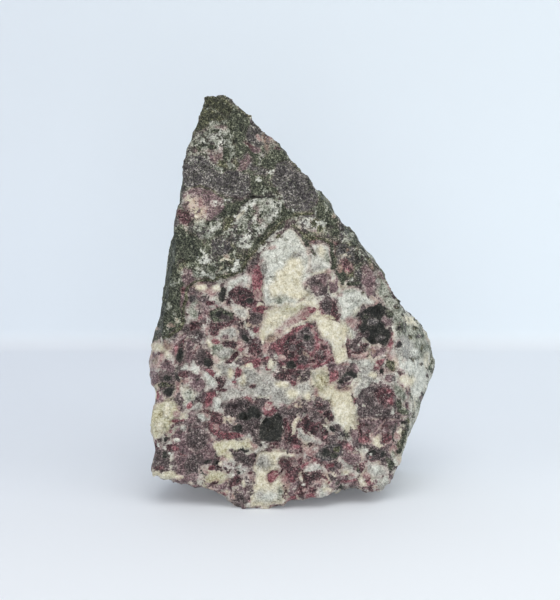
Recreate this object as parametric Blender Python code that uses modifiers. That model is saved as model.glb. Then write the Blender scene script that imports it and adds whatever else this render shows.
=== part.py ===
"""Rough eudialyte: one broken hand specimen of nepheline syenite, standing on its irregular foot.

The stone is laid out as a slab in its own frame: X across, Y through it from front to back, Z up.
It is knapped out of that slab by flat breaks, leaned back, roughened and set down on z = 0.
"""

import math

import bmesh
import bpy
from mathutils import Matrix, Vector, noise

MM = 0.001

# Driving dimensions
LEAN_DEG = 12.0  # the broad face leans back by this much when the stone stands
SLAB_FRONT = -15.0 * MM
SLAB_BACK = 20.0 * MM
NOSE_DEPTH = -14.0 * MM  # depth of the front edge of the foot, the first part to touch down
FOOT_RISE = 1.0 * MM  # the underside clears the ground by about this much between its pads
PAD_SWELL = 1.5 * MM  # how far the pads swell down from the underside before they are worn flat
SOLID_VOXEL = 0.75 * MM
SOLID_TRIANGLES = 9400

# The stone's outline seen square to its broad face, in mm, clockwise from the tip.
TIP = [(-20.1, 94.3), (-18.3, 93.6), (-15.5, 94.2), (-13.7, 93.2)]
LONG_SLOPE = [
    (-10.2, 90.4), (-4.9, 84.9), (-1.7, 82.1), (0.4, 79.2), (3.1, 75.2), (6.6, 72.5),
    (9.3, 69.7), (10.7, 67.4), (11.4, 65.3), (13.5, 64.2), (15.4, 62.4), (17.1, 59.1),
    (20.8, 54.7), (22.1, 51.6), (25.2, 46.4), (29.0, 43.2), (31.2, 39.3),
]
RIGHT_SHOULDER = [
    (33.0, 36.0), (34.2, 32.4), (33.7, 29.8), (31.9, 25.9), (30.1, 21.2), (28.4, 17.6),
    (25.3, 10.3), (23.4, 5.8),
]
UNDER_EDGE = [
    (21.0, 3.8), (17.1, 3.6), (12.8, 4.3), (10.2, 3.4), (4.3, 2.5), (-0.1, 2.0),
    (-1.6, 0.7), (-7.2, 0.0), (-11.8, 0.0), (-13.7, 1.6), (-19.7, 4.4), (-25.4, 6.2),
]
LEFT_FLANK = [
    (-32.1, 8.3), (-31.4, 13.1), (-32.4, 17.5), (-32.3, 22.0), (-31.0, 24.9), (-33.0, 29.6),
    (-33.0, 35.0), (-32.2, 38.6), (-30.9, 43.5), (-29.3, 52.2), (-27.9, 60.0), (-26.2, 68.3),
    (-26.0, 73.2), (-25.0, 79.4), (-22.8, 85.2), (-21.0, 90.4),
]
OUTLINE = TIP + LONG_SLOPE + RIGHT_SHOULDER + UNDER_EDGE + LEFT_FLANK

# Flat breaks: (a point on the break, the way it faces), in mm in the slab's frame.
BREAKS = {
    "broad face": ((-8, -14, 10), (-0.06, -1.0, 0.05)),
    "face turning right": ((9, -13.2, 25), (0.30, -0.95, 0.02)),
    "upper face": ((-8, -13.2, 48), (0.0, -0.97, 0.20)),
    "right flank": ((25.6, -8.5, 33), (0.86, -0.50, 0.06)),
    "slope sliver": ((8.2, -9.5, 68), (0.72, -0.34, 0.60)),
    "left sliver": ((-28.8, -9.5, 48), (-0.90, -0.40, 0.15)),
    "slope behind": ((10.4, -3.0, 70.6), (0.74, 0.30, 0.60)),
    "left behind": ((-30.4, -3.0, 48), (-0.95, 0.27, 0.16)),
    "left foot behind": ((-32.4, -2.0, 20), (-0.93, 0.36, -0.05)),
    "back": ((4, 18.5, 6), (0.10, 0.98, 0.16)),
    "back left": ((-22, 15, 20), (-0.66, 0.74, 0.12)),
    "back right": ((31.5, 10, 30), (0.75, 0.64, 0.18)),
    "back shoulder": ((14, 9.0, 58), (0.46, 0.72, 0.52)),
    "back of the tip": ((-17, 5.5, 88), (-0.15, 0.80, 0.58)),
    "back heel": ((0, 17.5, 9), (-0.20, 0.82, -0.54)),
}

# The dark rind covers the face above this line, drawn in mm on the broad face.
RIND_EDGE = [
    (-34, 38.0), (-29, 38.5), (-25.5, 40), (-24, 45), (-24.5, 49.5), (-22.5, 51.5), (-18, 52),
    (-13.5, 51.8), (-10.5, 54.5), (-9, 58.5), (-5.5, 63), (-2, 66.5), (3.5, 67), (9, 64),
    (13, 61), (16, 56), (20, 50), (26, 44), (36, 34),
]
RIND_THICKNESS = 0.9 * MM
RIND_SOFTNESS = 1.2 * MM

# Forms on the broad face: centre in mm, half sizes in mm, turn in degrees and height in mm.
LUMPS = {
    "feldspar blade": ((12.5, 21.5), (3.2, 7.5), 28, 1.1),
    "feldspar blade point": ((15.2, 16.0), (1.5, 3.6), 32, 0.9),
    "white swell": ((-3.0, 52.0), (6.5, 10.0), 10, 0.9),
    "cream ridge": ((9.5, 38.0), (3.0, 9.0), 25, 0.8),
    "crimson boss": ((4.2, 32.5), (6.5, 7.0), 0, -0.9),
    "spindle grain": ((13.2, 29.0), (4.0, 1.8), 15, 0.7),
    "black pit": ((-4.5, 17.5), (4.6, 4.8), 0, -1.1),
    "dusky hollow": ((-15.0, 19.5), (7.0, 4.0), -8, -0.8),
    "left cream boss": ((-30.5, 20.0), (3.0, 5.0), 0, 0.8),
    "fan hollow": ((19.5, 18.5), (6.0, 3.6), 5, -0.9),
    "dark hollow right": ((18.0, 40.0), (5.0, 5.5), 15, -0.9),
    "pink boss": ((-24.5, 65.0), (5.0, 4.5), -10, 0.9),
    "tip hollow": ((-17.0, 76.0), (6.0, 5.0), 20, -0.7),
}

# The back broke in larger shells than the face did: facet size, step height and tilt.
SHELLS = [(26.0, 1.9, 0.10), (15.0, 1.1, 0.13)]
SHELL_DROP = 0.5 * MM  # the shells lie this far below the flat breaks behind, on the whole
EDGE_WANDER = (9.0, 2.4)  # mm, how far apart and how strongly the edges of the shells wander

# Pads of the foot that touch the ground: centre and half sizes across and through, in mm.
PADS = [
    ((-9.0, -11.0), (6.0, 5.0)),
    ((18.0, 7.0), (5.0, 7.0)),
    ((-15.0, 14.0), (8.0, 5.0)),
    ((9.0, 18.0), (8.0, 5.0)),
]

# Chipped relief: facet size and step height in mm, and how far a facet may tilt.
CHIPS = [(11.0, 0.50, 0.11), (5.2, 0.30, 0.13), (2.6, 0.16, 0.14)]
RELIEF_SEED = 11  # fixes the vector noise, which otherwise changes with the clock


def clear_scene():
    for old in list(bpy.data.objects):
        bpy.data.objects.remove(old, do_unlink=True)


def slab_mesh(collection):
    """The outline as a filled 2D curve, extruded through the slab and stood upright, as a mesh."""
    curve = bpy.data.curves.new("outline", "CURVE")
    curve.dimensions = "2D"
    curve.fill_mode = "BOTH"
    curve.extrude = (SLAB_BACK - SLAB_FRONT) / 2
    edge = curve.splines.new("POLY")
    edge.points.add(len(OUTLINE) - 1)
    for point, (across, up) in zip(edge.points, OUTLINE):
        point.co = (across * MM, up * MM, 0, 1)
    edge.use_cyclic_u = True
    guide = bpy.data.objects.new("outline", curve)
    collection.objects.link(guide)
    bpy.context.view_layer.update()
    graph = bpy.context.evaluated_depsgraph_get()
    mesh = bpy.data.meshes.new_from_object(guide.evaluated_get(graph))
    bpy.data.objects.remove(guide)
    bm = bmesh.new()
    bm.from_mesh(mesh)
    bmesh.ops.remove_doubles(bm, verts=bm.verts, dist=0.001 * MM)
    middle = (SLAB_FRONT + SLAB_BACK) / 2
    upright = Matrix.Translation((0, middle, 0)) @ Matrix.Rotation(math.radians(90), 4, "X")
    bmesh.ops.transform(bm, matrix=upright, verts=bm.verts)
    bmesh.ops.recalc_face_normals(bm, faces=bm.faces)
    return mesh, bm


def break_off(bm, point, outward):
    """Removes what lies beyond a plane and closes the fresh break with a face."""
    everything = list(bm.verts) + list(bm.edges) + list(bm.faces)
    cut = bmesh.ops.bisect_plane(
        bm, geom=everything, plane_co=point, plane_no=outward, clear_outer=True, dist=0.001 * MM
    )
    rim = [item for item in cut["geom_cut"] if isinstance(item, bmesh.types.BMEdge)]
    bmesh.ops.triangle_fill(bm, edges=rim, use_beauty=True)
    bmesh.ops.recalc_face_normals(bm, faces=bm.faces)


def apply_modifier(stone, name, kind, **settings):
    modifier = stone.modifiers.new(name, kind)
    for key, value in settings.items():
        setattr(modifier, key, value)
    bpy.context.view_layer.update()
    graph = bpy.context.evaluated_depsgraph_get()
    made = bpy.data.meshes.new_from_object(stone.evaluated_get(graph))
    stone.modifiers.remove(modifier)
    old = stone.data
    stone.data = made
    bpy.data.meshes.remove(old)


def distance_to_line(across, up, line):
    """Signed distance in mm from a point to a line of corners: positive above it."""
    nearest = 1e9
    sign = 1.0
    for (x0, z0), (x1, z1) in zip(line, line[1:]):
        run, rise = x1 - x0, z1 - z0
        share = ((across - x0) * run + (up - z0) * rise) / (run * run + rise * rise)
        share = min(1.0, max(0.0, share))
        gap = math.hypot(across - x0 - share * run, up - z0 - share * rise)
        if gap < nearest:
            nearest = gap
            sign = 1.0 if run * (up - z0) - rise * (across - x0) > 0 else -1.0
    return sign * nearest


def smooth_step(value, low, high):
    share = min(1.0, max(0.0, (value - low) / (high - low)))
    return share * share * (3 - 2 * share)


def rind_height(across, up):
    beyond = distance_to_line(across, up, RIND_EDGE) * MM
    return RIND_THICKNESS * smooth_step(beyond, 0, RIND_SOFTNESS)


def reach_in(across, up, form):
    """How far out in a form a point lies: 0 at its centre and 1 at its edge."""
    (x, z), (half_x, half_z), turn, _ = form
    turned = math.radians(turn)
    right, rise = across - x, up - z
    along = (right * math.cos(turned) - rise * math.sin(turned)) / half_x
    over = (right * math.sin(turned) + rise * math.cos(turned)) / half_z
    return math.hypot(along, over)


def lump_height(across, up):
    total = 0.0
    for form in LUMPS.values():
        total += form[-1] * MM * (1 - smooth_step(reach_in(across, up, form), 0.55, 1.15))
    return total


def facet_height(point, facets):
    """Height of the broken facet that a point lies on: each cell of the stone is one tilted facet."""
    total = 0.0
    for size, step, tilt in facets:
        place = point / (size * MM)
        centre = noise.voronoi(place)[1][0]
        slope = noise.noise_vector(centre * 7.3)
        total += step * MM * noise.noise(centre * 5.1) + size * MM * tilt * slope.dot(place - centre)
    return total


def relief_at(place, facing):
    """Height of the broken surface over its flat break, at a point that faces this way."""
    across, through, up = place / MM
    front = smooth_step(-facing.y, 0.35, 0.75)
    behind = smooth_step(facing.y, 0.10, 0.45) * smooth_step(through, -2, 4)
    height = facet_height(place, CHIPS)
    if front > 0:
        height += front * (rind_height(across, up) + lump_height(across, up))
    if behind > 0:
        apart, strength = EDGE_WANDER
        wander = noise.noise_vector(place / (apart * MM)) * strength * MM
        height += behind * (facet_height(place + wander, SHELLS) - SHELL_DROP)
    return height


def roughen(mesh):
    """Moves each point along its normal by the relief that the break left there."""
    faced = [(vertex.co.copy(), vertex.normal.copy()) for vertex in mesh.vertices]
    for vertex, (place, facing) in zip(mesh.vertices, faced):
        vertex.co = place + facing * relief_at(place, facing)


def standing():
    """The matrix that leans the slab back and brings the nose of its foot to the ground."""
    lean = Matrix.Rotation(math.radians(-LEAN_DEG), 4, "X")
    drop = NOSE_DEPTH * math.sin(math.radians(LEAN_DEG))
    return Matrix.Translation((0, 0, drop)) @ lean


def swell_pads(mesh):
    """Swells the underside down where the stone touches the ground."""
    low = [v for v in mesh.vertices if v.normal.z < -0.55 and v.co.z < 4 * MM]
    drops = []
    for vertex in low:
        across, through, _ = vertex.co / MM
        drop = 0.0
        for (x, y), (half_x, half_y) in PADS:
            reach = math.hypot((across - x) / half_x, (through - y) / half_y)
            drop = max(drop, PAD_SWELL * (1 - smooth_step(reach, 0.3, 1.3)))
        drops.append(drop)
    for vertex, drop in zip(low, drops):
        vertex.co.z -= drop


def wear_flat(mesh):
    """Wears off what lies below the ground, so that the pads are flat."""
    bm = bmesh.new()
    bm.from_mesh(mesh)
    break_off(bm, Vector((0, 0, 0)), Vector((0, 0, -1)))
    bm.to_mesh(mesh)
    bm.free()


def centre_over_origin(mesh):
    """Slides the stone sideways until its bounding box is centred over the origin."""
    for axis in (0, 1):
        places = [vertex.co[axis] for vertex in mesh.vertices]
        slide = Vector((0, 0, 0))
        slide[axis] = -(min(places) + max(places)) / 2
        mesh.transform(Matrix.Translation(slide))


def stone_finish():
    finish = bpy.data.materials.new("eudialyte_syenite")
    finish.use_nodes = True
    shader = finish.node_tree.nodes["Principled BSDF"]
    shader.inputs["Base Color"].default_value = (0.22, 0.15, 0.14, 1)
    shader.inputs["Roughness"].default_value = 0.6
    shader.inputs["Metallic"].default_value = 0.0
    return finish


def build():
    clear_scene()
    noise.seed_set(RELIEF_SEED)
    collection = bpy.data.collections.new("rough_eudialyte")
    bpy.context.scene.collection.children.link(collection)

    mesh, bm = slab_mesh(collection)
    for point, outward in BREAKS.values():
        break_off(bm, Vector(point) * MM, Vector(outward).normalized())
    to_slab = standing().inverted()
    break_off(bm, to_slab @ Vector((0, 0, FOOT_RISE)), to_slab.to_3x3() @ Vector((0, 0, -1)))
    bm.to_mesh(mesh)
    bm.free()

    stone = bpy.data.objects.new("rough_eudialyte", mesh)
    collection.objects.link(stone)
    apply_modifier(stone, "grain", "REMESH", mode="VOXEL", voxel_size=SOLID_VOXEL)
    roughen(stone.data)
    stone.data.transform(standing())
    swell_pads(stone.data)
    stone.data.calc_loop_triangles()
    share = SOLID_TRIANGLES / len(stone.data.loop_triangles)
    apply_modifier(stone, "facets", "DECIMATE", ratio=share, use_collapse_triangulate=True)
    wear_flat(stone.data)
    centre_over_origin(stone.data)
    stone.data.materials.append(stone_finish())


build()
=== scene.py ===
# %% [markdown]
# # Rough eudialyte
# A broken hand specimen of eudialyte syenite, about 90 mm tall, stands on its uneven foot in soft light.
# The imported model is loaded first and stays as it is. The stone that is seen is a finer copy of it.

# %% The frame
import math

import bpy
import numpy as np
from mathutils import Euler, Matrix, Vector, noise
from mathutils.kdtree import KDTree


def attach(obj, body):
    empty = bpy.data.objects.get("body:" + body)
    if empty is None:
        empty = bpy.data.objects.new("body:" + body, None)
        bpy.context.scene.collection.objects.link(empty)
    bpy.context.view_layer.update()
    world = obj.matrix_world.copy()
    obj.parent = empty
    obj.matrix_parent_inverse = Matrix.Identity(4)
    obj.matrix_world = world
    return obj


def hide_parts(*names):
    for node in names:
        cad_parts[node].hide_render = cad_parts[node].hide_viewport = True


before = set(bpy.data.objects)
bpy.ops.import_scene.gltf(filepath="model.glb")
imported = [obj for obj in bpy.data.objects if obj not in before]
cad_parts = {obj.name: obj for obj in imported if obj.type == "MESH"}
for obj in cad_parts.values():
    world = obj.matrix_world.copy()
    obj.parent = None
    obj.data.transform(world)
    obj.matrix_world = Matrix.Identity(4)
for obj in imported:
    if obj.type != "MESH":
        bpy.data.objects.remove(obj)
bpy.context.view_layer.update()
MM = 0.001

# %% [markdown]
# ## The slab's own measures
# The stone was broken out of a slab, and its broad face is easiest to describe square on: so many
# millimetres across, so many up, and so deep. The slab then leans back by 12 degrees. Two small
# functions go from those measures to the world and back, so that everything can be placed by them.

# %% Slab measures to world and back
LEAN = math.radians(12)
DROP = -2.91 * MM  # the nose of the foot comes down to the ground by this much
SLIDE = (-0.943 * MM, -5.463 * MM)  # along X and Y, so that the stone stands over the origin


def to_world(across, through, up):
    """A point given in mm in the slab's measures, in metres in the world."""
    across, through, up = across * MM, through * MM, up * MM
    return Vector((
        across + SLIDE[0],
        up * math.sin(LEAN) + through * math.cos(LEAN) + SLIDE[1],
        up * math.cos(LEAN) - through * math.sin(LEAN) + DROP,
    ))


def to_slab(points):
    """World points in metres, one to a row, in mm in the slab's measures."""
    x = points[:, 0] - SLIDE[0]
    y = points[:, 1] - SLIDE[1]
    z = points[:, 2] - DROP
    through = y * math.cos(LEAN) - z * math.sin(LEAN)
    up = y * math.sin(LEAN) + z * math.cos(LEAN)
    return np.stack((x, through, up), axis=1) / MM


print("the tip stands at", [round(c / MM, 1) for c in to_world(-19, -5, 94)], "mm")

# %% [markdown]
# ## Camera
# The stone is seen a little from above, straight along the slab's depth, so its broad face is square
# to the view. A long lens from about 0.4 m keeps the perspective as flat as on a copy stand.

# %% Camera
LENS = 110.0
HALF_FILM = 18.0  # mm, half of the long side of the frame inside the camera
VIEW_HEIGHT = 138.0  # mm of the broad face from the frame's lower edge to its upper edge
AIM = (-2.6, -5.0, 47.1)  # what the middle of the frame looks at

distance = VIEW_HEIGHT / 2 / (HALF_FILM / LENS)
camera = bpy.data.objects.new("camera", bpy.data.cameras.new("camera"))
camera.data.lens = LENS
camera.data.clip_start = 0.01
camera.location = to_world(AIM[0], AIM[1] - distance, AIM[2])
camera.rotation_euler = Euler((math.radians(90) - LEAN, 0, 0))
bpy.context.scene.collection.objects.link(camera)
bpy.context.scene.camera = camera
print("camera", round(distance), "mm from the broad face")

# %% [markdown]
# ## Floor and backdrop
# A pale sheet lies under the stone and rises behind it in a tight curve, as in a small light tent. A
# plane makes the floor. Its back edge is extruded upwards into the wall, and the line where the two
# meet is bevelled into a soft bend.

# %% Floor and backdrop
FLOOR_FRONT = -1.2
FLOOR_BACK = 0.137  # the wall rises this far behind the stone
WALL_TOP = 0.9
SHEET_HALF = 0.9
BEND = 0.006
BEND_STEPS = 8


def pick_back_line():
    """Selects the line where the floor meets the wall, and nothing else."""
    bpy.ops.mesh.select_all(action="DESELECT")
    bpy.ops.object.mode_set(mode="OBJECT")
    for vertex in backdrop.data.vertices:
        vertex.select = vertex.co.y > FLOOR_BACK - BEND and vertex.co.z < BEND
    bpy.ops.object.mode_set(mode="EDIT")


bpy.ops.object.select_all(action="DESELECT")
bpy.ops.mesh.primitive_plane_add(size=1)
backdrop = bpy.context.object
backdrop.name = backdrop.data.name = "light_tent_sheet"
bpy.ops.object.mode_set(mode="EDIT")
bpy.ops.transform.resize(value=(2 * SHEET_HALF, FLOOR_BACK - FLOOR_FRONT, 1))
bpy.ops.transform.translate(value=(0, (FLOOR_BACK + FLOOR_FRONT) / 2, 0))
pick_back_line()
bpy.ops.mesh.extrude_edges_move(TRANSFORM_OT_translate={"value": (0, 0, WALL_TOP)})
pick_back_line()
bpy.ops.mesh.bevel(offset=BEND, segments=BEND_STEPS, affect="EDGES")
bpy.ops.object.mode_set(mode="OBJECT")
bpy.ops.object.shade_smooth()
backdrop.select_set(False)
print("backdrop", round(FLOOR_BACK / MM), "mm behind the stone,", len(backdrop.data.polygons), "faces")

# %% [markdown]
# ## Shader maths
# A shader is easier to read as an expression than as a net of nodes. The class below wraps one output
# socket: adding or multiplying two of them puts in the Math node, and `add` puts in any other node.

# %% One class for shader sockets
def srgb(red, green, blue):
    """A screen colour from 0 to 255, as the linear colour that a shader works in."""
    shares = [c / 255 for c in (red, green, blue)]
    return tuple(s / 12.92 if s <= 0.04045 else ((s + 0.055) / 1.055) ** 2.4 for s in shares) + (1.0,)


class Wire:
    """An output socket of a shader node. Arithmetic on wires adds Math nodes."""

    def __init__(self, socket):
        self.socket = socket
        self.tree = socket.id_data

    def add(self, kind, settings=(), sockets=(), out=0):
        """Adds any node: its settings first, then its sockets' values or links."""
        node = self.tree.nodes.new("ShaderNode" + kind)
        for name, value in dict(settings).items():
            if name == "stops":
                while len(node.color_ramp.elements) < len(value):
                    node.color_ramp.elements.new(0.5)
                for element, (place, colour) in zip(node.color_ramp.elements, value):
                    element.position = place
                    element.color = colour
            else:
                setattr(node, name, value)
        for name, value in dict(sockets).items():
            socket = node.inputs[name] if isinstance(name, int) else self.find(node, name)
            if isinstance(value, Wire):
                self.tree.links.new(value.socket, socket)
            else:
                socket.default_value = value
        return Wire(node.outputs[out])

    @staticmethod
    def find(node, name):
        return next(s for s in node.inputs if s.identifier == name)

    def math(self, operation, first, second=0.0):
        return self.add("Math", {"operation": operation}, {0: first, 1: second})

    def __add__(self, other):
        return self.math("ADD", self, other)

    def __sub__(self, other):
        return self.math("SUBTRACT", self, other)

    def __rsub__(self, other):
        return self.math("SUBTRACT", other, self)

    def __mul__(self, other):
        return self.math("MULTIPLY", self, other)

    def between(self, low, high):
        """0 below low, 1 above high and a smooth step between them."""
        settings = {"interpolation_type": "SMOOTHSTEP"}
        return self.add("MapRange", settings, {"Value": self, "From Min": low, "From Max": high})

    def mix(self, first, second):
        """The first colour where this wire is 0 and the second where it is 1."""
        sockets = {"Factor_Float": self, "A_Color": first, "B_Color": second}
        return self.add("Mix", {"data_type": "RGBA"}, sockets, out=2)

    def blend(self, first, second):
        """The first number where this wire is 0 and the second where it is 1."""
        return self.add("Mix", {}, {"Factor_Float": self, "A_Float": first, "B_Float": second})

    __radd__ = __add__
    __rmul__ = __mul__


def new_material(name):
    """A material with a Principled shader, and the wire that gives the place on the object."""
    material = bpy.data.materials.new(name)
    material.use_nodes = True
    tree = material.node_tree
    place = Wire(tree.nodes.new("ShaderNodeTexCoord").outputs["Object"])
    return material, tree.nodes["Principled BSDF"], place


print("white feldspar is", [round(c, 2) for c in srgb(205, 205, 192)[:3]])

# %% [markdown]
# The sheet is plain matt plastic film, faintly blue. A painted glow, standing in for light from outside
# the tent that comes through the film, lightens it a little everywhere, under the stone too. Light and
# shade are painted on it as well: the floor is lightest in front, under the tent's opening, and a little
# darker towards the bend; the wall is lightest at its foot and duller towards the top; and the left
# side of the sheet is painted a little darker than the right. Four flat colours and three soft steps
# give all of that, and the same colour feeds the surface and its painted glow.

# %% Backdrop material
# the painted glow: the film gives off its own colour, which lightens it everywhere, the shadow under the
# stone too
FILM_PAINTED_GLOW = 0.13

film, film_shader, film_place = new_material("tent_film_painted_glow")
film_x, film_y, film_z = (
    film_place.add("SeparateXYZ", (), {"Vector": film_place}, out=axis) for axis in range(3)
)
# painted light and shade: the floor lighter in front, the wall duller towards the top, the left side darker
floor_colour_painted_light = film_y.between(-0.12, 0.08).mix(srgb(231, 235, 239), srgb(220, 226, 233))
wall_colour_painted_shade = film_z.between(0.03, 0.11).mix(srgb(225, 234, 241), srgb(220, 229, 236))
film_colour_and_painted_light = film_z.between(0.0, 0.005).mix(floor_colour_painted_light, wall_colour_painted_shade)
shade = film_x.between(-0.16, 0.16).mix(srgb(241, 240, 242), srgb(250, 250, 250))
film_colour_and_painted_light = film_colour_and_painted_light.add(
    "Mix",
    {"data_type": "RGBA", "blend_type": "MULTIPLY"},
    {"Factor_Float": 1.0, "A_Color": film_colour_and_painted_light, "B_Color": shade},
    out=2,
)
film.node_tree.links.new(film_colour_and_painted_light.socket, film_shader.inputs["Base Color"])
# the same colour, given off as the painted glow
film.node_tree.links.new(film_colour_and_painted_light.socket, film_shader.inputs["Emission Color"])
film_shader.inputs["Emission Strength"].default_value = FILM_PAINTED_GLOW
film_shader.inputs["Roughness"].default_value = 0.75
film_shader.inputs["Specular IOR Level"].default_value = 0.2
backdrop.data.materials.append(film)
print("film shader has", len(film.node_tree.nodes), "nodes")

# %% [markdown]
# ## Light
# The light is even and almost without direction: a bright surround, a wide soft panel overhead that
# leans to the front, one on each side, and a weak one low in front that reaches under the stone. Each
# panel is large and close, so shadows stay soft.

# %% Surround and panels
SURROUND = 0.32

world = bpy.data.worlds.new("tent")
world.use_nodes = True
surround = world.node_tree.nodes["Background"]
surround.inputs["Color"].default_value = (0.95, 0.98, 1.0, 1)
surround.inputs["Strength"].default_value = SURROUND
bpy.context.scene.world = world
bpy.context.scene.view_settings.view_transform = "Standard"

PANELS = {  # place and size in metres, and power in watts
    "overhead": ((0.0, -0.20, 0.51), 0.46, 1.35),
    "left side": ((-0.50, -0.22, 0.22), 0.40, 0.6),
    "right side": ((0.50, -0.22, 0.26), 0.40, 0.9),
    "low front": ((0.0, -0.60, 0.07), 0.30, 1.0),
}
PANEL_AIM = Vector((0, 0, 0.04))
for name, (place, size, power) in PANELS.items():
    light = bpy.data.lights.new(name, "AREA")
    light.shape = "SQUARE"
    light.size = size
    light.energy = power
    light.color = (1.0, 0.985, 0.96)
    lamp = bpy.data.objects.new(name, light)
    lamp.location = place
    lamp.rotation_euler = (PANEL_AIM - Vector(place)).to_track_quat("-Z", "Y").to_euler()
    bpy.context.scene.collection.objects.link(lamp)
print(len(PANELS), "panels")

# %% [markdown]
# ## The stone's skin
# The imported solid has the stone's form in about nine thousand triangles, which is too coarse for its
# crystals. A copy is merged, because its triangles are loose, and rebuilt as an even fine net by a
# voxel remesh. All later work moves or marks the points of that net, and the solid stays as it is.

# %% A finer copy of the solid
SKIN_VOXEL = 0.45 * MM

stone = bpy.data.objects.new("stone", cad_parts["rough_eudialyte"].data.copy())
bpy.context.scene.collection.objects.link(stone)
bpy.ops.object.select_all(action="DESELECT")
stone.select_set(True)
bpy.context.view_layer.objects.active = stone
bpy.ops.object.mode_set(mode="EDIT")
bpy.ops.mesh.select_all(action="SELECT")
bpy.ops.mesh.remove_doubles(threshold=0.0005 * MM)
bpy.ops.object.mode_set(mode="OBJECT")
net = stone.modifiers.new("skin", "REMESH")
net.mode = "VOXEL"
net.voxel_size = SKIN_VOXEL
bpy.ops.object.modifier_apply(modifier="skin")
bpy.ops.object.mode_set(mode="EDIT")
bpy.ops.mesh.select_all(action="SELECT")
bpy.ops.mesh.vertices_smooth(factor=0.5, repeat=3)  # takes the steps of the small cubes away
bpy.ops.object.mode_set(mode="OBJECT")
print("skin has", len(stone.data.vertices), "points")


# %% [markdown]
# The places of all points, and the directions they face, are read once into tables of numbers. In the
# slab's measures it is plain which points lie on the broad face, on a side or on the back.

# %% Where the points are, and where they face
def read_points(what):
    values = np.empty(len(stone.data.vertices) * 3, dtype=np.float32)
    stone.data.vertices.foreach_get(what, values)
    return values.reshape(-1, 3).astype(float)


world_places = read_points("co")
world_facing = read_points("normal")
places = to_slab(world_places)
facing = to_slab(world_facing * MM) - to_slab(np.zeros((1, 3)))
print("skin spans", np.ptp(places, axis=0).round(1), "mm across, through and up")

# %% [markdown]
# ## How a mineral's outline wanders
# No crystal here ends on a clean line. Instead of drawing ragged shapes, each point of the skin is
# looked up at a place that wanders a little, first by slow noise and then by finer noise. Plain ovals
# laid in those places then come out ragged.

# %% Wandering places
WANDER = [(3.2, 0.5), (1.3, 0.32)]  # mm: size of the noise, and how far it moves a place
noise.seed_set(5)


def wander(place):
    total = Vector((0, 0, 0))
    for size, reach in WANDER:
        total += noise.noise_vector(place / size) * reach
    return total


ragged = places + np.array([wander(Vector(place)) for place in places])
lookup = KDTree(len(ragged))
for index, place in enumerate(ragged):
    lookup.insert(place, index)
lookup.balance()
print("places wander by up to", round(float(np.abs(ragged - places).max()), 2), "mm")

# %% [markdown]
# ## Two sheets of minerals
# The stone is painted on two sheets: the pale minerals on one and the dark ones on the other. Each
# mineral has a field, which is how many millimetres a point lies inside it, less than zero outside.
# One more field, the darkness, says which of the two sheets is seen, and how deep the point lies in
# it. So a pale fleck in a dark crystal shows the pale mineral that lies under it. Grit is no mineral:
# where it is laid, both sheets show through each other. A pale patch laid on pale ground gets no rim,
# because pale crystals melt into each other.

# %% Mineral fields
SHEETS = {
    "pale sheet": ["grey", "pale", "white", "cream", "straw", "pink", "tan"],
    "dark sheet": ["dusky", "slate", "green", "olive", "mauve", "maroon", "crimson", "black"],
}
MINERALS = SHEETS["pale sheet"] + SHEETS["dark sheet"]
PALES = len(SHEETS["pale sheet"])
REACH = 1.6  # mm outside a patch to which its field is kept
FAR = 2.0  # mm from any edge, where no patch has been laid yet
BOTH_SHEETS = 0.05  # the darkness at which both sheets show through each other
PALE_GROUND = -0.2  # where the darkness is less than this, the ground is pale already
fields = np.full((len(places), len(MINERALS)), -3.0)
darkness = np.zeros(len(places))
rim = np.full(len(places), FAR)  # mm to the edge of the patch that a point belongs to
owner = np.zeros(len(places), dtype=int)
grains = [Vector((0, 0, 40))]  # the middle of each grain, by the number that owner gives


def lay(mineral, centre, members, inside):
    """Lays a patch: inside is how deep in it each of the member points lies, in mm."""
    if mineral == "grit":
        share = np.clip(inside / 0.6 + 0.3, 0, 0.9)
        darkness[members] += (BOTH_SHEETS - darkness[members]) * share
        return
    dark = mineral in SHEETS["dark sheet"]
    shows = dark | (darkness[members] > PALE_GROUND)
    edged, depth = members[shows], inside[shows]
    owner[edged[depth > 0]] = len(grains)
    rim[edged] = np.where(depth > 0, depth, np.minimum(rim[edged], -depth))
    grains.append(centre)
    sheet = slice(PALES, None) if dark else slice(0, PALES)
    column = MINERALS.index(mineral)
    own = np.maximum(fields[members, column], inside)
    fields[members, sheet] = np.minimum(fields[members, sheet], -inside[:, None])
    fields[members, column] = own
    if dark:
        darkness[members] = np.maximum(darkness[members], inside)
    else:
        darkness[members] = np.minimum(darkness[members], -inside)


def lay_grain(mineral, centre, axes, halves):
    """Lays an egg shape: its axes are three unit rows and its half sizes are in mm."""
    found = lookup.find_range(centre, max(halves) + REACH)
    if not found:
        return
    members = np.array([item[1] for item in found])
    local = (ragged[members] - np.array(centre)) @ axes.T / halves
    out = np.linalg.norm(local, axis=1) + 1e-6
    slope = np.linalg.norm(local / halves, axis=1) / out + 1e-6
    inside = (1 - out) / slope
    near = inside > -REACH
    lay(mineral, centre, members[near], inside[near])


print(len(MINERALS), "minerals")

# %% [markdown]
# The rind is the old outer surface of the slab, dark green with aegirine. It covers the upper part of
# the broad face down to a wandering edge, the narrow faces beside it and the tip. The right flank is a
# paler, greenish break. Everywhere else the ground is a grey grit of pale and dark grains.

# %% Ground of each zone
RIND = [  # across and up in mm, all round the rind as seen on the broad face
    -34, 38.0, -31.5, 37.5, -29, 38.3, -27, 38.6, -25.5, 40, -24.2, 41.6, -24, 45, -24.5, 49.5,
    -22.5, 51.2, -18, 51.4, -14.5, 52.2, -12, 53.0, -10.2, 54.6, -9.2, 56.5, -8.2, 58.3, -5.8, 60.0,
    -4.6, 61.2, -3.6, 62.6, -2.0, 63.4, 0.4, 64.0, 2.2, 61.8, 3.9, 60.4, 7.8, 60.3, 9.2, 59.6,
    9.4, 55.0, 11.0, 52.2, 13.0, 50.6, 16, 50.6, 19.5, 55, 24, 50, 40, 40, 40, 120, -60, 120,
]


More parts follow.
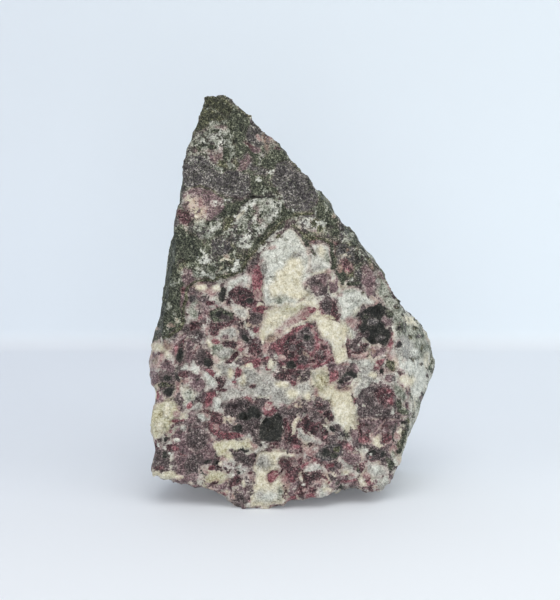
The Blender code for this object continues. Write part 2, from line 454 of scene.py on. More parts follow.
def depth_in(points, outline):
    """How many mm each point (across, up) lies inside a closed outline, less than zero outside."""
    corners = np.reshape(outline, (-1, 2)).astype(float)
    nearest = np.full(len(points), 1e9)
    crossings = np.zeros(len(points), dtype=int)
    for (x0, z0), (x1, z1) in zip(corners, np.roll(corners, -1, axis=0)):
        run, rise = x1 - x0, z1 - z0
        right, over = points[:, 0] - x0, points[:, 1] - z0
        share = np.clip((right * run + over * rise) / (run * run + rise * rise), 0, 1)
        nearest = np.minimum(nearest, np.hypot(right - share * run, over - share * rise))
        level = (z0 > points[:, 1]) != (z1 > points[:, 1])
        crossings += level & (right < over * run / (rise or 1))
    return np.where(crossings % 2 == 1, nearest, -nearest)


front = np.clip((-facing[:, 1] - 0.45) / 0.2, 0, 1)  # 1 on the broad face and 0 off it
face_rind = depth_in(ragged[:, [0, 2]], RIND)
narrow = np.abs(facing[:, 0]) > 0.5  # the rind reaches lower on the sides than on the back
wave = 3 * np.sin(ragged[:, 0] / 6) + 2.5 * np.sin(ragged[:, 1] / 2.6 + 1)
back_rind = ragged[:, 2] - np.where(narrow, 45, 65) - wave
rind = np.clip(front * face_rind + (1 - front) * back_rind, -2, 2)
flank = np.clip(np.minimum(facing[:, 0] * 8 - 4.4, 47 - ragged[:, 2]), -2, 2)
outside = np.maximum(rind, flank)
for mineral, side in {"pale": 1, "green": 1, "grey": -1, "dusky": -1}.items():
    fields[:, MINERALS.index(mineral)] = side * outside
darkness[:] = np.where(rind > 0, np.clip(rind, 0, 1.2), np.where(flank > 0, -0.3, -0.15))

# %% [markdown]
# Under the single crystals, the broad face has a coarse ground: large areas where one mineral is
# common. They are laid first, so that they show wherever no crystal covers them.

# %% Coarse ground of the broad face
GROUND = [  # mineral, middle across and up, half sizes in mm
    ("mauve", -20.0, 38.0, 9.0, 7.0), ("mauve", -9.0, 38.0, 6.0, 9.0), ("maroon", 3.0, 36.0, 7.0, 6.0),
    ("dusky", -14.0, 20.0, 13.0, 6.5), ("dusky", 6.0, 20.0, 10.0, 5.0), ("dusky", 18.0, 22.0, 8.0, 8.0),
    ("dusky", -20.0, 11.0, 12.0, 7.0), ("maroon", 6.0, 9.0, 16.0, 7.0), ("mauve", -12.0, 5.0, 12.0, 5.0),
    ("white", -8.0, 29.0, 12.0, 3.5), ("cream", 8.0, 28.0, 7.0, 4.0), ("white", 17.0, 31.0, 6.0, 3.5),
    ("cream", -2.0, 45.0, 8.0, 7.0), ("white", 1.0, 56.0, 9.0, 9.0), ("white", 13.0, 45.0, 5.0, 7.0),
]
GROUND_DEPTH = 14.0  # mm that an area reaches into the stone
GROUND_MOST = 0.6  # mm, the deepest that an area counts, so that every grain shows on it

face_depth = places[facing[:, 1] < -0.7, 1].mean()
on_face = (facing[:, 1] < -0.2) & (rind < 0.3) & (flank < 0.3)
for mineral, across, up, half, short in GROUND:
    centre = np.array((across, face_depth, up))
    halves = np.array((half, GROUND_DEPTH, short))
    local = (ragged - centre) / halves
    out = np.linalg.norm(local, axis=1) + 1e-6
    inside = (1 - out) * min(half, short)
    members = np.flatnonzero((inside > -REACH) & on_face)
    lay(mineral, Vector(centre), members, np.minimum(inside[members], GROUND_MOST))
rim[:] = FAR
print("rind covers", round(100 * float((rind > 0).mean())), "% of the skin")

# %% [markdown]
# ## Grains all over
# A few thousand grains of random size and tilt cover the whole stone, sides, back and underside too.
# Which mineral a grain is depends on its zone. The seed is fixed, so each run gives the same stone.

# %% Random grains
GRAINS = 5200
MIX = {
    "body": {
        "white": 13, "cream": 9, "grey": 9, "pink": 3, "mauve": 15, "crimson": 10, "maroon": 16,
        "dusky": 18, "black": 4, "grit": 3,
    },
    "rind": {
        "green": 24, "slate": 22, "pale": 8, "olive": 12, "grit": 22, "mauve": 3, "white": 2,
        "black": 6, "tan": 1,
    },
    "flank": {
        "pale": 22, "white": 20, "grey": 18, "cream": 9, "grit": 20, "green": 5, "black": 3,
        "dusky": 3,
    },
}
GRAIN_SIZE = (1.05, 0.45)  # mm and spread of the half size
GRAIN_SHAPE = np.array([1.35, 1.0, 0.75])  # long, middle and short half size

random = np.random.default_rng(21)
for number in random.integers(0, len(places), GRAINS):
    zone = "rind" if rind[number] > 0 else "flank" if flank[number] > 0 else "body"
    names = list(MIX[zone])
    shares = np.array([MIX[zone][name] for name in names], dtype=float)
    mineral = names[random.choice(len(names), p=shares / shares.sum())]
    turn = Euler(random.uniform(0, math.tau, 3)).to_matrix()
    half = GRAIN_SIZE[0] * math.exp(random.normal(0, GRAIN_SIZE[1]))
    halves = half * GRAIN_SHAPE * random.uniform(0.85, 1.15, 3)
    lay_grain(mineral, Vector(ragged[number]), np.array(turn), halves)
print(len(grains) - 1, "grains")

# %% [markdown]
# ## The broad face, patch by patch
# The broad face is what this stone is kept for, so its crystals are laid one by one over the random ones.
# They are drawn on a plane square to the view, in mm across and up, and a line of sight carries each
# one onto the skin. A shape is a mineral and its corners. An oval is a mineral, its middle, its two
# half sizes and its turn in degrees. A vein is a mineral, a half width and a line of points.

# %% Laying patches one by one
eye = np.array((AIM[0], AIM[1] - distance, AIM[2]))
share = distance / (ragged[:, 1] - eye[1])
drawn = eye[[0, 2]] + (ragged[:, [0, 2]] - eye[[0, 2]]) * share[:, None]
to_eye = eye - places
in_view = (facing * to_eye).sum(axis=1) > 0.12 * distance  # and not seen edge on
FULL_DEPTH = 1.8  # mm that the middle of a patch should count as
GAIN = (1.6, 2.8)  # a patch counts as this much deeper, a small one most, or its edges would blur


def lay_drawn(mineral, middle, reach, depth):
    """Lays a drawn patch on the points in view, within reach of its middle on the drawing plane."""
    close = np.abs(drawn - middle).max(axis=1) < reach + REACH
    members = np.flatnonzero(in_view & close)
    inside = depth(drawn[members])
    near = inside > -REACH
    members, inside = members[near], inside[near]
    if len(members) and inside.max() > 0:
        centre = Vector(ragged[members[inside.argmax()]])
        lay(mineral, centre, members, inside * np.clip(FULL_DEPTH / inside.max(), *GAIN))


def lay_shapes(shapes):
    for mineral, outline in shapes:
        corners = np.reshape(outline, (-1, 2))
        middle = (corners.min(axis=0) + corners.max(axis=0)) / 2
        lay_drawn(mineral, middle, np.ptp(corners, axis=0).max() / 2, lambda p: depth_in(p, outline))


def lay_ovals(ovals):
    for mineral, across, up, half, short, turn in ovals:
        cosine, sine = math.cos(math.radians(turn)), math.sin(math.radians(turn))

        def depth(points):
            right, over = points[:, 0] - across, points[:, 1] - up
            along = (right * cosine + over * sine) / half
            beside = (over * cosine - right * sine) / short
            out = np.hypot(along, beside) + 1e-6
            return (1 - out) * out / np.hypot(along / half, beside / short).clip(1e-6)

        lay_drawn(mineral, (across, up), max(half, short), depth)


def lay_veins(veins):
    for mineral, width, line in veins:
        for start, end in zip(line, line[1:]):
            start, end = np.array(start, dtype=float), np.array(end, dtype=float)
            along = end - start

            def depth(points):
                share = np.clip((points - start) @ along / (along @ along), 0, 1)
                return width - np.linalg.norm(points - start - share[:, None] * along, axis=1)

            lay_drawn(mineral, (start + end) / 2, np.abs(along).max() / 2 + width, depth)


print(round(100 * float(in_view.mean())), "% of the skin is in view")

# %% [markdown]
# The tip and the rind below it: dark green and olive aegirine, a pale greenish patch under the tip,
# dusky granular stone in two large areas, and a big pink crystal with a cream heart at the left edge.

# %% Rind: large shapes
lay_shapes([
    ("green", [-33, 43.5, -29.4, 56, -28.6, 60, -26, 60, -26.6, 55, -25.8, 50, -25.4, 46, -24.6, 43.5,
        -24.4, 41.4, -26.2, 39.4, -27.5, 38.6, -30, 38.4, -31.5, 37.6, -33, 37.4]),
    ("olive", [-22.5, 85, -21, 89, -20, 93.5, -16, 93.8, -13.6, 92, -12.6, 89, -14.5, 88.8, -18, 88.2, -20,
        86.4]),
    ("green", [-13.6, 92, -9.6, 89.4, -9.8, 86, -10.8, 83.4, -10, 80.6, -12.6, 79.6, -12.8, 82, -13.6, 84,
        -13.8, 87, -14.4, 88.8]),
    ("pale", [-19.9, 86.2, -18, 88, -15, 88.5, -13.9, 86.7, -13.6, 83.9, -12.7, 81.6, -13.4, 79.8, -15.3,
        77.5, -16.6, 77, -18, 79.3, -19.6, 81.1, -22.8, 81.1, -23.8, 82.5, -21.9, 84.6]),
    ("slate", [-10.4, 85.1, -9.5, 87.6, -8.1, 88, -6.5, 85.1, -6.7, 82.8, -8.4, 81.6, -10, 83.2]),
    ("slate", [-25.6, 79.5, -23, 80.6, -20.4, 80.4, -18.6, 79.2, -17.8, 77.2, -16, 76.2, -13.6, 77, -11.4,
        76, -10, 75, -9.8, 72, -10.6, 70.6, -14, 70.8, -16.2, 71.8, -18, 72.6, -21, 73.2, -23.2, 72.4,
        -24.4, 72.8, -25.4, 75]),
    ("green", [-8.6, 81.4, -6, 80.2, -3.4, 82, -1, 79.4, -3, 77, -6, 77.4, -8.6, 78]),
    ("slate", [-3.4, 78.6, -1.2, 79.2, 1.2, 77, 4.4, 75.6, 6, 73, 6, 70, 4, 67.6, 0.6, 67.4, -2, 69.6, -3.2,
        72, -4.6, 74.4]),
    ("green", [4.4, 75.4, 7.6, 72, 10.4, 68, 11, 64.6, 8, 64.2, 5.6, 66, 5.8, 69.4, 6.2, 72.6]),
    ("green", [-9.4, 75.6, -6.4, 75.6, -5.2, 73.4, -6, 71, -9.4, 71.4]),
    ("mauve", [-12.5, 77, -11.6, 79.3, -9.5, 80.5, -9, 79.3, -10.4, 77, -11.8, 76.3]),
    ("mauve", [-25, 71.2, -22.4, 72.8, -18.5, 72.1, -15.8, 70.4, -15.8, 67.6, -18.5, 65.8, -21.4, 65.4,
        -23.4, 66, -24.8, 68.6]),
    ("pink", [-24.4, 70.2, -22.4, 70.6, -20.6, 69.4, -19.4, 67.6, -20.6, 66.2, -22.4, 66.2, -23.6, 68]),
    ("cream", [-25, 70.4, -23.2, 71.2, -21, 70, -19.2, 68.2, -19.6, 65.6, -21.6, 64.8, -23, 65.4, -23.6,
        67.8]),
    ("white", [-18.4, 70, -15.4, 70.1, -15.5, 69, -17.6, 68.4]),
    ("maroon", [-26.2, 68, -24.4, 67.6, -23, 65.8, -23.8, 64.2, -25.8, 64.6, -26.4, 66.4]),
    ("green", [-17.2, 66.6, -15.6, 68.6, -13.4, 69.8, -11, 70.6, -10.2, 69.6, -12, 68.2, -12.6, 66.6, -15,
        65.8]),
    ("pale", [-12.6, 66, -11.4, 68.6, -10, 69.8, -8, 70.3, -5, 70, -3.4, 68.6, -4, 66, -6, 62.8, -8.6, 60.8,
        -9.6, 59, -11.6, 58.6, -12.8, 60.8, -13.2, 63.4]),
    ("pale", [-22, 64.8, -20, 65.8, -18.4, 65.2, -16, 65.4, -16.2, 63.6, -17.6, 62, -19, 61.6, -20.4, 63,
        -21.4, 64]),
    ("green", [-28.6, 60, -26.6, 64, -22.6, 63, -20.4, 61, -19.6, 58, -22, 56, -27, 56.6]),
    ("slate", [-18, 61.4, -16, 62, -14, 61, -13.6, 58.4, -15.4, 57, -17.6, 57.8, -18.4, 59.6]),
    ("mauve", [-25.6, 53, -24.8, 54.6, -23.2, 54.4, -22, 52.4, -22.4, 50, -24, 50, -25, 51.4]),
    ("grey", [1, 64.6, 2.2, 66, 3.4, 65.8, 4.6, 64.4, 6.2, 63.2, 5.2, 62.4, 2.6, 62.8]),
])

print(len(grains) - 1, "grains and patches")

# %% [markdown]
# Small grains, streaks and thin veins break those areas up. The longest vein is the dark lip of the
# rind, which follows its whole lower edge.

# %% Rind: details
lay_ovals([
    ("grit", -20.5, 83, 2.4, 1.6, 25), ("grit", -16.6, 79.2, 1.6, 1.6, 0),
    ("white", -16.4, 84.6, 0.5, 2.4, 20), ("white", -19, 83.8, 1.6, 0.4, 35),
    ("white", -16.3, 82, 0.5, 1.5, 0), ("green", -17.8, 85.6, 1.1, 0.5, 0),
    ("green", -18.2, 82.3, 0.8, 0.7, 0), ("green", -15.2, 80.2, 1, 1.8, 0),
    ("green", -21, 81.6, 1.1, 0.35, -20), ("pale", -13.2, 81.3, 0.5, 1.3, 0),
    ("olive", -15.8, 78.2, 1.6, 0.9, -35), ("maroon", -10.6, 78.3, 1.1, 0.3, 60),
    ("maroon", -9.6, 82.6, 1.5, 0.45, -35), ("mauve", -8.2, 81.6, 1.1, 0.7, -30),
    ("tan", -6.1, 83.2, 2.2, 0.5, 105), ("grey", -6.9, 80, 1.8, 0.5, 75), ("pink", -7.6, 84.2, 0.5, 0.9, 0),
    ("white", -9.4, 88.9, 0.9, 0.5, -40), ("maroon", -3, 81.8, 0.8, 0.35, -40),
    ("white", -4.9, 76.3, 1.3, 0.5, 15), ("white", -7.2, 74.8, 0.8, 0.5, 0),
    ("green", -7.2, 74.8, 0.35, 0.25, 0), ("grit", -6.8, 72.3, 1.6, 1.2, 0), ("grey", -25, 69.4, 0.4, 1, 0),
    ("maroon", -24.2, 69, 0.35, 0.35, 0), ("maroon", -23.6, 67.2, 0.6, 0.4, 0),
    ("pink", -20.9, 69.3, 0.7, 1.4, 0), ("white", -14.8, 70, 1.3, 0.5, -10),
    ("grit", -5.6, 66.8, 1.9, 0.9, 40), ("grit", -10.6, 66, 0.9, 1.6, -35), ("grit", -8.8, 61, 1, 0.8, 0),
    ("green", -6.6, 66.6, 0.9, 0.45, 45), ("slate", -9.6, 64.6, 1.1, 0.5, 50),
    ("green", -8.6, 67.4, 0.7, 0.35, 10), ("green", -6.2, 64.6, 0.9, 0.45, 30),
    ("green", -10.8, 62.6, 0.8, 0.4, 70), ("pale", -14.2, 62.4, 2, 0.9, 45),
    ("pale", -2.8, 70.3, 1.7, 0.6, -20), ("white", -8.2, 66.2, 1.6, 0.5, 55),
    ("white", -4.4, 66.8, 1.2, 0.5, 60), ("green", -11.6, 63.4, 0.6, 1.2, -20),
    ("white", -8.6, 69.8, 1.2, 0.5, 20), ("white", -11.4, 67.2, 2.6, 0.5, 58),
    ("cream", -11.7, 66.4, 1, 0.35, 55), ("white", -9.2, 68.6, 1, 0.5, 30),
    ("white", -3.4, 68.9, 1.5, 0.6, -25), ("white", -7, 63.6, 1.6, 0.6, 35),
    ("white", -10.4, 61.8, 1.6, 0.7, 40), ("black", -4.6, 70.6, 1.4, 0.35, 12),
    ("black", -8.9, 61.1, 0.35, 0.5, 0), ("black", -10.6, 58.6, 0.4, 0.35, 0),
    ("white", -10.6, 59.4, 1.2, 0.4, 15), ("white", -17.6, 63.6, 1.5, 0.45, 25),
    ("grit", -16.3, 60, 1.2, 1.2, 0), ("tan", -14.6, 60.3, 0.35, 0.5, 0),
    ("white", -19.9, 56.2, 0.9, 0.8, 20), ("cream", -15.2, 56.3, 1.1, 0.4, 10),
    ("tan", -15, 57.2, 0.7, 0.35, 0), ("grit", -12.3, 57, 1.2, 1.6, 30),
    ("pale", -13.2, 54.4, 1.8, 0.7, 15), ("white", -13.4, 54.2, 1.2, 0.35, 20),
    ("white", -12.6, 55.6, 0.6, 1, -30), ("pale", -19.4, 54, 1.6, 0.5, -35),
    ("pale", -16.4, 53.2, 2, 0.4, 0), ("pale", -18, 55.4, 0.5, 0.4, 0),
    ("white", -24.6, 51.6, 0.5, 0.35, 0), ("pale", -27, 51.2, 0.7, 1.2, 0),
    ("pale", -26.6, 43.2, 0.6, 1.5, 10), ("cream", -26.4, 42.7, 0.4, 0.9, 0),
    ("pale", -28, 45.6, 0.6, 1, 0), ("tan", -27.6, 41.2, 0.9, 0.6, 0), ("pink", -30.9, 40.6, 0.9, 0.2, -35),
    ("grey", 2.4, 64.6, 0.9, 0.6, 0), ("white", 3.5, 65.2, 0.5, 0.7, 0), ("grit", 7, 61.5, 2, 0.6, -12),
    ("tan", 9.7, 66.6, 0.3, 0.8, 0), ("tan", 9.9, 61.1, 0.35, 0.8, 0), ("grit", 12.4, 61.4, 2, 1.2, -25),
    ("slate", 11.4, 59.6, 1.4, 0.7, 0), ("green", 14.8, 60.6, 1, 2.2, -20),
])
lay_veins([
    ("olive", 0.42, [(-31, 38.8), (-28, 38.9), (-25.7, 40.4), (-24.6, 43.3), (-24.4, 46.5), (-24.2, 49.3),
        (-22, 51.5), (-18, 51.9), (-14.5, 52.6), (-12, 53.6), (-10.6, 55.2), (-9.4, 57.6), (-8.2, 59.1),
        (-6.2, 60.9), (-4.9, 62.4), (-3.6, 64.4), (-1.6, 65.6), (1.4, 66.6), (5, 67.2)]),
    ("green", 0.5, [(-9.4, 58.6), (-7, 61.4), (-5.2, 63.6), (-3.4, 65.4), (0, 66.4)]),
    ("olive", 0.35, [(0.4, 64.3), (1.8, 62.6), (4, 61.2), (6.2, 61.6), (8.3, 60.8), (9.4, 59.8)]),
    ("olive", 0.2, [(-23.5, 72.5), (-21, 73), (-18.5, 72.5), (-16.6, 71.4), (-15.6, 70.6)]),
    ("white", 0.2, [(-21.3, 54), (-19.5, 52.9), (-17.8, 52.2)]),
    ("tan", 0.13, [(-25, 63.7), (-22.3, 62)]),
    ("pale", 0.18, [(5.8, 71.9), (7, 70), (8.2, 67.9)]),
    ("green", 0.4, [(-20.6, 92), (-18, 91), (-15.4, 89.4)]),
    ("olive", 0.3, [(-12, 91), (-9.6, 89), (-7.6, 87.2)]),
])
print(len(grains) - 1, "grains and patches")

# %% [markdown]
# The middle: white nepheline and cream feldspar in one bright body with a ridge that runs down to the
# right, dark maroon crystals along its left side, and a dark green seam and mauve crystals on its
# right.

# %% White and cream body
lay_shapes([
    ("white", [0.2, 63.5, 1.2, 62.3, 2.4, 60.8, 3.4, 59.8, 4, 58.6, 4.2, 56, 4, 53.6, 5.2, 53, 4.2, 51.6, 3,
        50.4, 3.6, 48.8, 6.2, 47.4, 6.4, 45, 0, 45.4, -5.9, 45.4, -6.6, 47.4, -6.8, 49, -6.5, 51, -6.6, 53,
        -6.9, 54.8, -7.6, 56.5, -7.4, 58.2, -5.8, 59.3, -4.6, 60.4, -2.6, 61.2, -1.6, 63]),
    ("cream", [-0.8, 56.6, 0.8, 57.8, 2.2, 56.2, 3, 53.4, 2.2, 51, 3.2, 49.2, 5.2, 47.8, 2, 47, -0.4, 47.8,
        -2.2, 47, -4.8, 47.9, -5.4, 50.2, -3.6, 51.4, -3.6, 53.4, -1.8, 54.2]),
    ("white", [4.2, 60.1, 7.5, 60.3, 8.9, 59.2, 9.2, 57.5, 9.2, 55.5, 8.4, 54.2, 6.5, 53.6, 4.4, 53.2, 3.9,
        56, 4.4, 58]),
    ("dusky", [4.2, 50.2, 4.6, 52.2, 5.6, 53, 6.8, 53.3, 8.3, 53.2, 8.6, 51.5, 8.6, 49.5, 8.3, 48.4, 7, 48,
        5.5, 48.1, 4.4, 48.5]),
    ("mauve", [9.2, 54, 10.3, 53.4, 10.9, 52, 10.8, 50, 10.5, 48.8, 9, 49.2, 8.9, 51.5]),
    ("dusky", [6.5, 46.8, 7.6, 47.6, 8.5, 48, 9.2, 47.6, 9.9, 46.4, 10.2, 45, 9.6, 43.4, 8.6, 43.5, 7, 44.6,
        6.4, 45.8]),
    ("maroon", [9, 47, 10, 46.4, 10.4, 45, 11.2, 43.4, 11.6, 42.4, 10.7, 42.1, 9.7, 42.6, 8.8, 43.8]),
    ("green", [9.5, 59.5, 10.2, 57, 9.9, 54.6, 11, 53.6, 12.6, 54.2, 12.8, 51.8, 11.6, 50.4, 10.9, 51.5,
        9.6, 54, 9.1, 54.6, 9.2, 57]),
    ("slate", [10, 59.6, 12.8, 60.2, 14.6, 59, 14.8, 56.4, 13.4, 55.6, 12, 56, 10.6, 55.2, 10.2, 57]),
    ("maroon", [10.9, 56.2, 12.4, 56.6, 14.2, 55.6, 14.4, 53.6, 13, 53, 11.8, 54.4]),
    ("white", [10.6, 48.8, 12, 49.8, 14, 50.2, 16.2, 49.4, 17.6, 47.8, 20, 47.4, 18.6, 46.2, 16.6, 46, 15.2,
        44.6, 14.2, 43.2, 12.8, 42.5, 11.6, 43.2, 11.1, 45, 10.4, 47]),
    ("crimson", [-9.6, 52.5, -9, 54.2, -7.6, 54.4, -6.8, 53, -6.6, 51, -7, 49, -7.2, 47.2, -8.2, 47.2, -9,
        49, -9.4, 51]),
    ("white", [-14.2, 52, -12, 52.8, -10, 53.6, -9.6, 52, -9.2, 50.4, -10.5, 50.2, -12.5, 50.7, -14, 50.2,
        -15.4, 50.6]),
    ("white", [-15.2, 50.6, -12.4, 50.9, -9.6, 50.6, -8.9, 48.6, -8, 46.4, -9.8, 44.8, -12.4, 45.8, -14.8,
        47.8, -14.9, 49.4]),
    ("maroon", [-14.7, 48.4, -13.3, 50.3, -11.8, 51, -10.3, 50.1, -8.8, 48.8, -7.6, 47.5, -7.5, 46, -9.2,
        44.9, -10.8, 45.4, -12.2, 46.2, -13.8, 47.2]),
    ("grey", [-14, 47, -12.2, 46, -10.4, 45.2, -9.7, 44.4, -10.4, 42.6, -11.8, 42.4, -12.8, 43.5, -13.9,
        45.2]),
    ("crimson", [-8.6, 45.2, -7, 46, -5.4, 45.6, -4.4, 44.8, -5, 43.9, -6.8, 43.8, -8.6, 44.2]),
    ("cream", [-6.3, 44.4, -4, 45.8, -1, 45.8, 2.5, 46.8, 5.5, 47.2, 6.3, 45.3, 7.2, 43.8, 9.6, 42.4, 11.6,
        42, 13.2, 42.3, 13.6, 40, 12.9, 38, 12.2, 36, 11.8, 34, 10.3, 34, 9.7, 36, 9.3, 37, 8.5, 38, 7,
        38.6, 6.2, 40, 5.7, 42, 4.6, 42.3, 3.4, 41.6, 1.2, 40.8, -1.5, 39.6, -3.4, 38.2, -5.4, 37.3, -7.2,
        38.2, -7.3, 40, -6.5, 42]),
    ("pink", [-1, 41.4, 0.8, 42.7, 2, 44.4, 3.8, 44.8, 4.2, 44, 3, 42.6, 1.2, 41.6]),
    ("mauve", [16, 54.5, 17, 55.2, 18.6, 54.2, 19.3, 52, 19.2, 50, 18.6, 48.3, 17.4, 48.2, 17, 50, 16, 51]),
    ("pale", [19.6, 51.8, 20.6, 53.2, 21.6, 51.6, 22.8, 49.6, 23.6, 47.4, 24.6, 46, 22.8, 45.4, 20.8, 46.8,
        19.6, 48.8]),
])
lay_veins([
    ("green", 0.4, [(2.6, 61.4), (3.9, 59.9), (4.8, 58.4), (5.6, 57.6)]),
    ("green", 0.5, [(9.3, 60), (9.5, 57.2), (9.3, 54.6)]),
    ("grey", 0.25, [(4.2, 59), (4.3, 56.6), (4.5, 53.8)]),
    ("grit", 0.6, [(-4.8, 60.6), (-7.2, 58), (-7.4, 55.6), (-6.2, 53.6)]),
])
lay_ovals([
    ("grey", -6.2, 54.6, 0.9, 2.6, 5), ("pale", -2, 46.9, 2, 1.2, 0), ("tan", 2.2, 47, 1, 0.3, 10),
    ("grey", 1.6, 57.6, 1.8, 0.7, 0), ("cream", 7, 58.4, 0.6, 1.6, 25), ("pale", 8.2, 56.8, 0.7, 1.6, 10),
    ("grey", 5.8, 55, 1.1, 0.9, 0), ("pink", -4.7, 58.9, 0.8, 0.35, 10), ("pink", -6.8, 56, 0.5, 0.3, 0),
    ("olive", -3.1, 61.6, 0.4, 0.7, -20), ("pink", 8.5, 53.6, 0.4, 0.9, 0),
    ("grey", 9.7, 52.4, 0.4, 1.2, 5), ("tan", 13.1, 58.6, 0.6, 0.5, 0), ("cream", 12.4, 57.2, 0.9, 0.4, 20),
    ("tan", 14, 57, 0.8, 0.35, -20), ("crimson", 12.9, 53.8, 0.7, 0.5, 0), ("pink", 13.8, 55, 0.5, 0.35, 0),
    ("pale", 11.6, 56.8, 0.5, 0.25, 20), ("white", 13.6, 51.6, 1.2, 0.3, 10),
    ("white", 15.4, 51.2, 0.7, 0.35, -20), ("green", 14.2, 50.9, 1.6, 0.5, 0),
    ("pale", 13.2, 49.2, 1.4, 0.6, 0), ("pink", 11.4, 48.2, 0.6, 0.3, 30), ("pink", 14, 42.2, 1.1, 0.8, 0),
    ("crimson", 3.2, 43.6, 0.8, 1.4, -5), ("maroon", 3.1, 44.1, 0.35, 0.6, 0),
    ("cream", -1.4, 43.9, 1.8, 0.7, 10), ("crimson", 4.6, 45.2, 0.9, 0.3, 0),
    ("pink", -7.8, 48.4, 0.6, 1.2, 5), ("dusky", -8.6, 55.6, 1, 0.9, 0), ("black", -9.4, 47, 0.9, 0.7, 0),
    ("dusky", -8.4, 42.8, 1.5, 1.4, 0), ("olive", 16.5, 48.6, 0.4, 0.3, 0),
    ("olive", 22, 47.8, 0.4, 0.3, 0), ("olive", 20.1, 52.4, 0.4, 0.6, 0), ("tan", 18.2, 54.8, 1, 0.4, -40),
    ("straw", 0.6, 45, 3, 0.6, 5), ("straw", 8.6, 43.4, 1.6, 0.5, -20), ("mauve", 7.2, 51.8, 0.8, 1.4, 30),
    ("mauve", 5.4, 49.6, 0.8, 0.7, 0), ("pale", -22.6, 44.2, 1.3, 1.9, 10),
    ("pink", -18.4, 48.8, 1.1, 0.8, 0), ("cream", -20.6, 50, 1.8, 0.8, 0),
    ("cream", -17.2, 49.8, 1.2, 0.8, 0), ("slate", -22.9, 47.6, 0.8, 1, 0),
    ("maroon", -18.6, 46.6, 1.4, 0.6, 0), ("black", -15.8, 48.4, 0.9, 2, 0),
    ("pale", -21.8, 46.4, 1.6, 0.8, 20), ("dusky", -20.4, 47.4, 1.2, 0.7, 0),
    ("dusky", -22.8, 49.4, 0.9, 0.7, 0),
])
print(len(grains) - 1, "grains and patches")

# %% [markdown]
# The crimson cluster in the middle is the finest eudialyte on the stone. Its heart is brown and nearly
# black, its edges are clear and red, and a pink wedge runs up from it into the cream feldspar.

# %% Crimson cluster with its brown heart
lay_shapes([
    ("crimson", [-1.9, 39.1, 0.4, 40.6, 2.6, 41.2, 4, 41.9, 5.4, 41.2, 5.9, 40, 6.4, 38.5, 7.8, 37.8, 9.2,
        36.6, 9.5, 35.4, 8.9, 34.3, 9.4, 33.1, 8.9, 32.1, 7, 31.8, 5.3, 31.3, 4.2, 32, 3, 31.6, 1.5, 31.5,
        -1, 31.9, -2.5, 31.5, -3.3, 32.6, -3.4, 34, -3.9, 35, -4.4, 35.6, -4.2, 36.6, -3.2, 37.4, -2.4,
        38.2]),
    ("dusky", [0.3, 38.8, 1.8, 39.9, 3.4, 41.2, 4.7, 40.4, 5.3, 39, 5.6, 37.6, 5.2, 36.2, 3.9, 35.7, 2.2,
        35.9, 1.4, 37]),
    ("maroon", [-1, 38.6, 0.8, 39.6, 1.4, 37, 2, 35.6, 0.6, 34.4, -1.8, 34.6, -2, 36.4]),
    ("maroon", [-0.6, 38.8, 0.8, 39.4, 1.2, 38, 0, 37.6]),
    ("maroon", [-1.8, 36, 0.6, 36.4, 1.2, 34.8, -1.4, 34.8]),
    ("dusky", [1.8, 34.7, 3.4, 34.9, 4.2, 33.8, 3.4, 32.4, 1.6, 32.4]),
    ("dusky", [5.8, 35.4, 7.6, 35.3, 8.3, 34, 7.5, 32.7, 5.9, 32.8]),
    ("black", [-1.2, 33, 0.4, 33.5, 1.4, 32.2, 0.4, 31.2, -1.1, 31.6]),
    ("maroon", [-1, 31.4, 1.8, 31.8, 2.3, 30.4, 1.8, 28.8, 1, 27.4, 0.2, 27.2, -0.8, 28.2, -1.4, 30.2]),
    ("maroon", [-3.9, 29.4, -2.6, 30.4, -1.2, 30.3, -1.1, 29.1, -2.8, 28.8]),
    ("maroon", [2.6, 37.4, 4.4, 38, 5.6, 36.6, 4.8, 35.4, 3, 35.8]),
    ("maroon", [-2.8, 33.6, -1.2, 34.2, -0.6, 33, -1.8, 32.2]),
])
lay_ovals([
    ("maroon", 2.2, 36.4, 3.4, 1.5, 8), ("maroon", 6.8, 34.4, 1.9, 1.5, 0),
    ("maroon", -0.8, 35, 1.6, 1.6, 0), ("dusky", 4.2, 37.4, 1.5, 1.8, 0), ("dusky", 0.2, 36.4, 1, 0.8, 0),
    ("dusky", 6.6, 35, 0.9, 0.7, 0), ("tan", 3.6, 34.8, 1.3, 0.25, -35), ("pink", 6.9, 37.2, 0.7, 0.5, 0),
    ("pink", -0.9, 35.4, 0.3, 0.5, 0), ("pink", 4.9, 32.6, 0.6, 0.5, 0), ("pink", 8.6, 36.2, 0.9, 0.4, -50),
    ("pale", 3.2, 39.2, 0.5, 0.4, 0), ("crimson", 0.5, 27.9, 0.9, 0.6, 0), ("dusky", 3.4, 30.2, 1, 0.7, 10),
    ("grit", 3.2, 29.2, 0.9, 0.5, 0), ("pink", 5.2, 39.8, 0.4, 0.9, 0), ("maroon", 7.6, 36.2, 1, 0.7, -20),
    ("maroon", 4.4, 33.2, 0.8, 0.7, 0), ("black", 3.6, 38.2, 0.9, 0.7, 0),
    ("dusky", 0.8, 29.4, 0.9, 0.8, 0), ("crimson", -5.7, 33.9, 0.9, 0.4, 20),
    ("dusky", -5.9, 32.6, 0.6, 0.4, 0), ("pink", -2.4, 33.6, 0.9, 0.6, 0),
    ("cream", -4.6, 32.4, 0.7, 1.2, 0), ("pink", 0.4, 42.4, 2.2, 0.8, 30),
    ("pink", 3.2, 43.9, 1.9, 0.8, 30), ("crimson", 4.4, 44.6, 0.8, 0.6, 20),
    ("tan", -4.6, 38, 1.4, 1.2, 20), ("pink", -5.8, 36.2, 1.3, 0.9, 20), ("pink", -2.6, 40, 1.4, 0.7, 40),
])

print(len(grains) - 1, "grains and patches")

# %% [markdown]
# To its right lies a cluster of black crystals, with pink and mauve ones and clear grey nepheline
# below it.

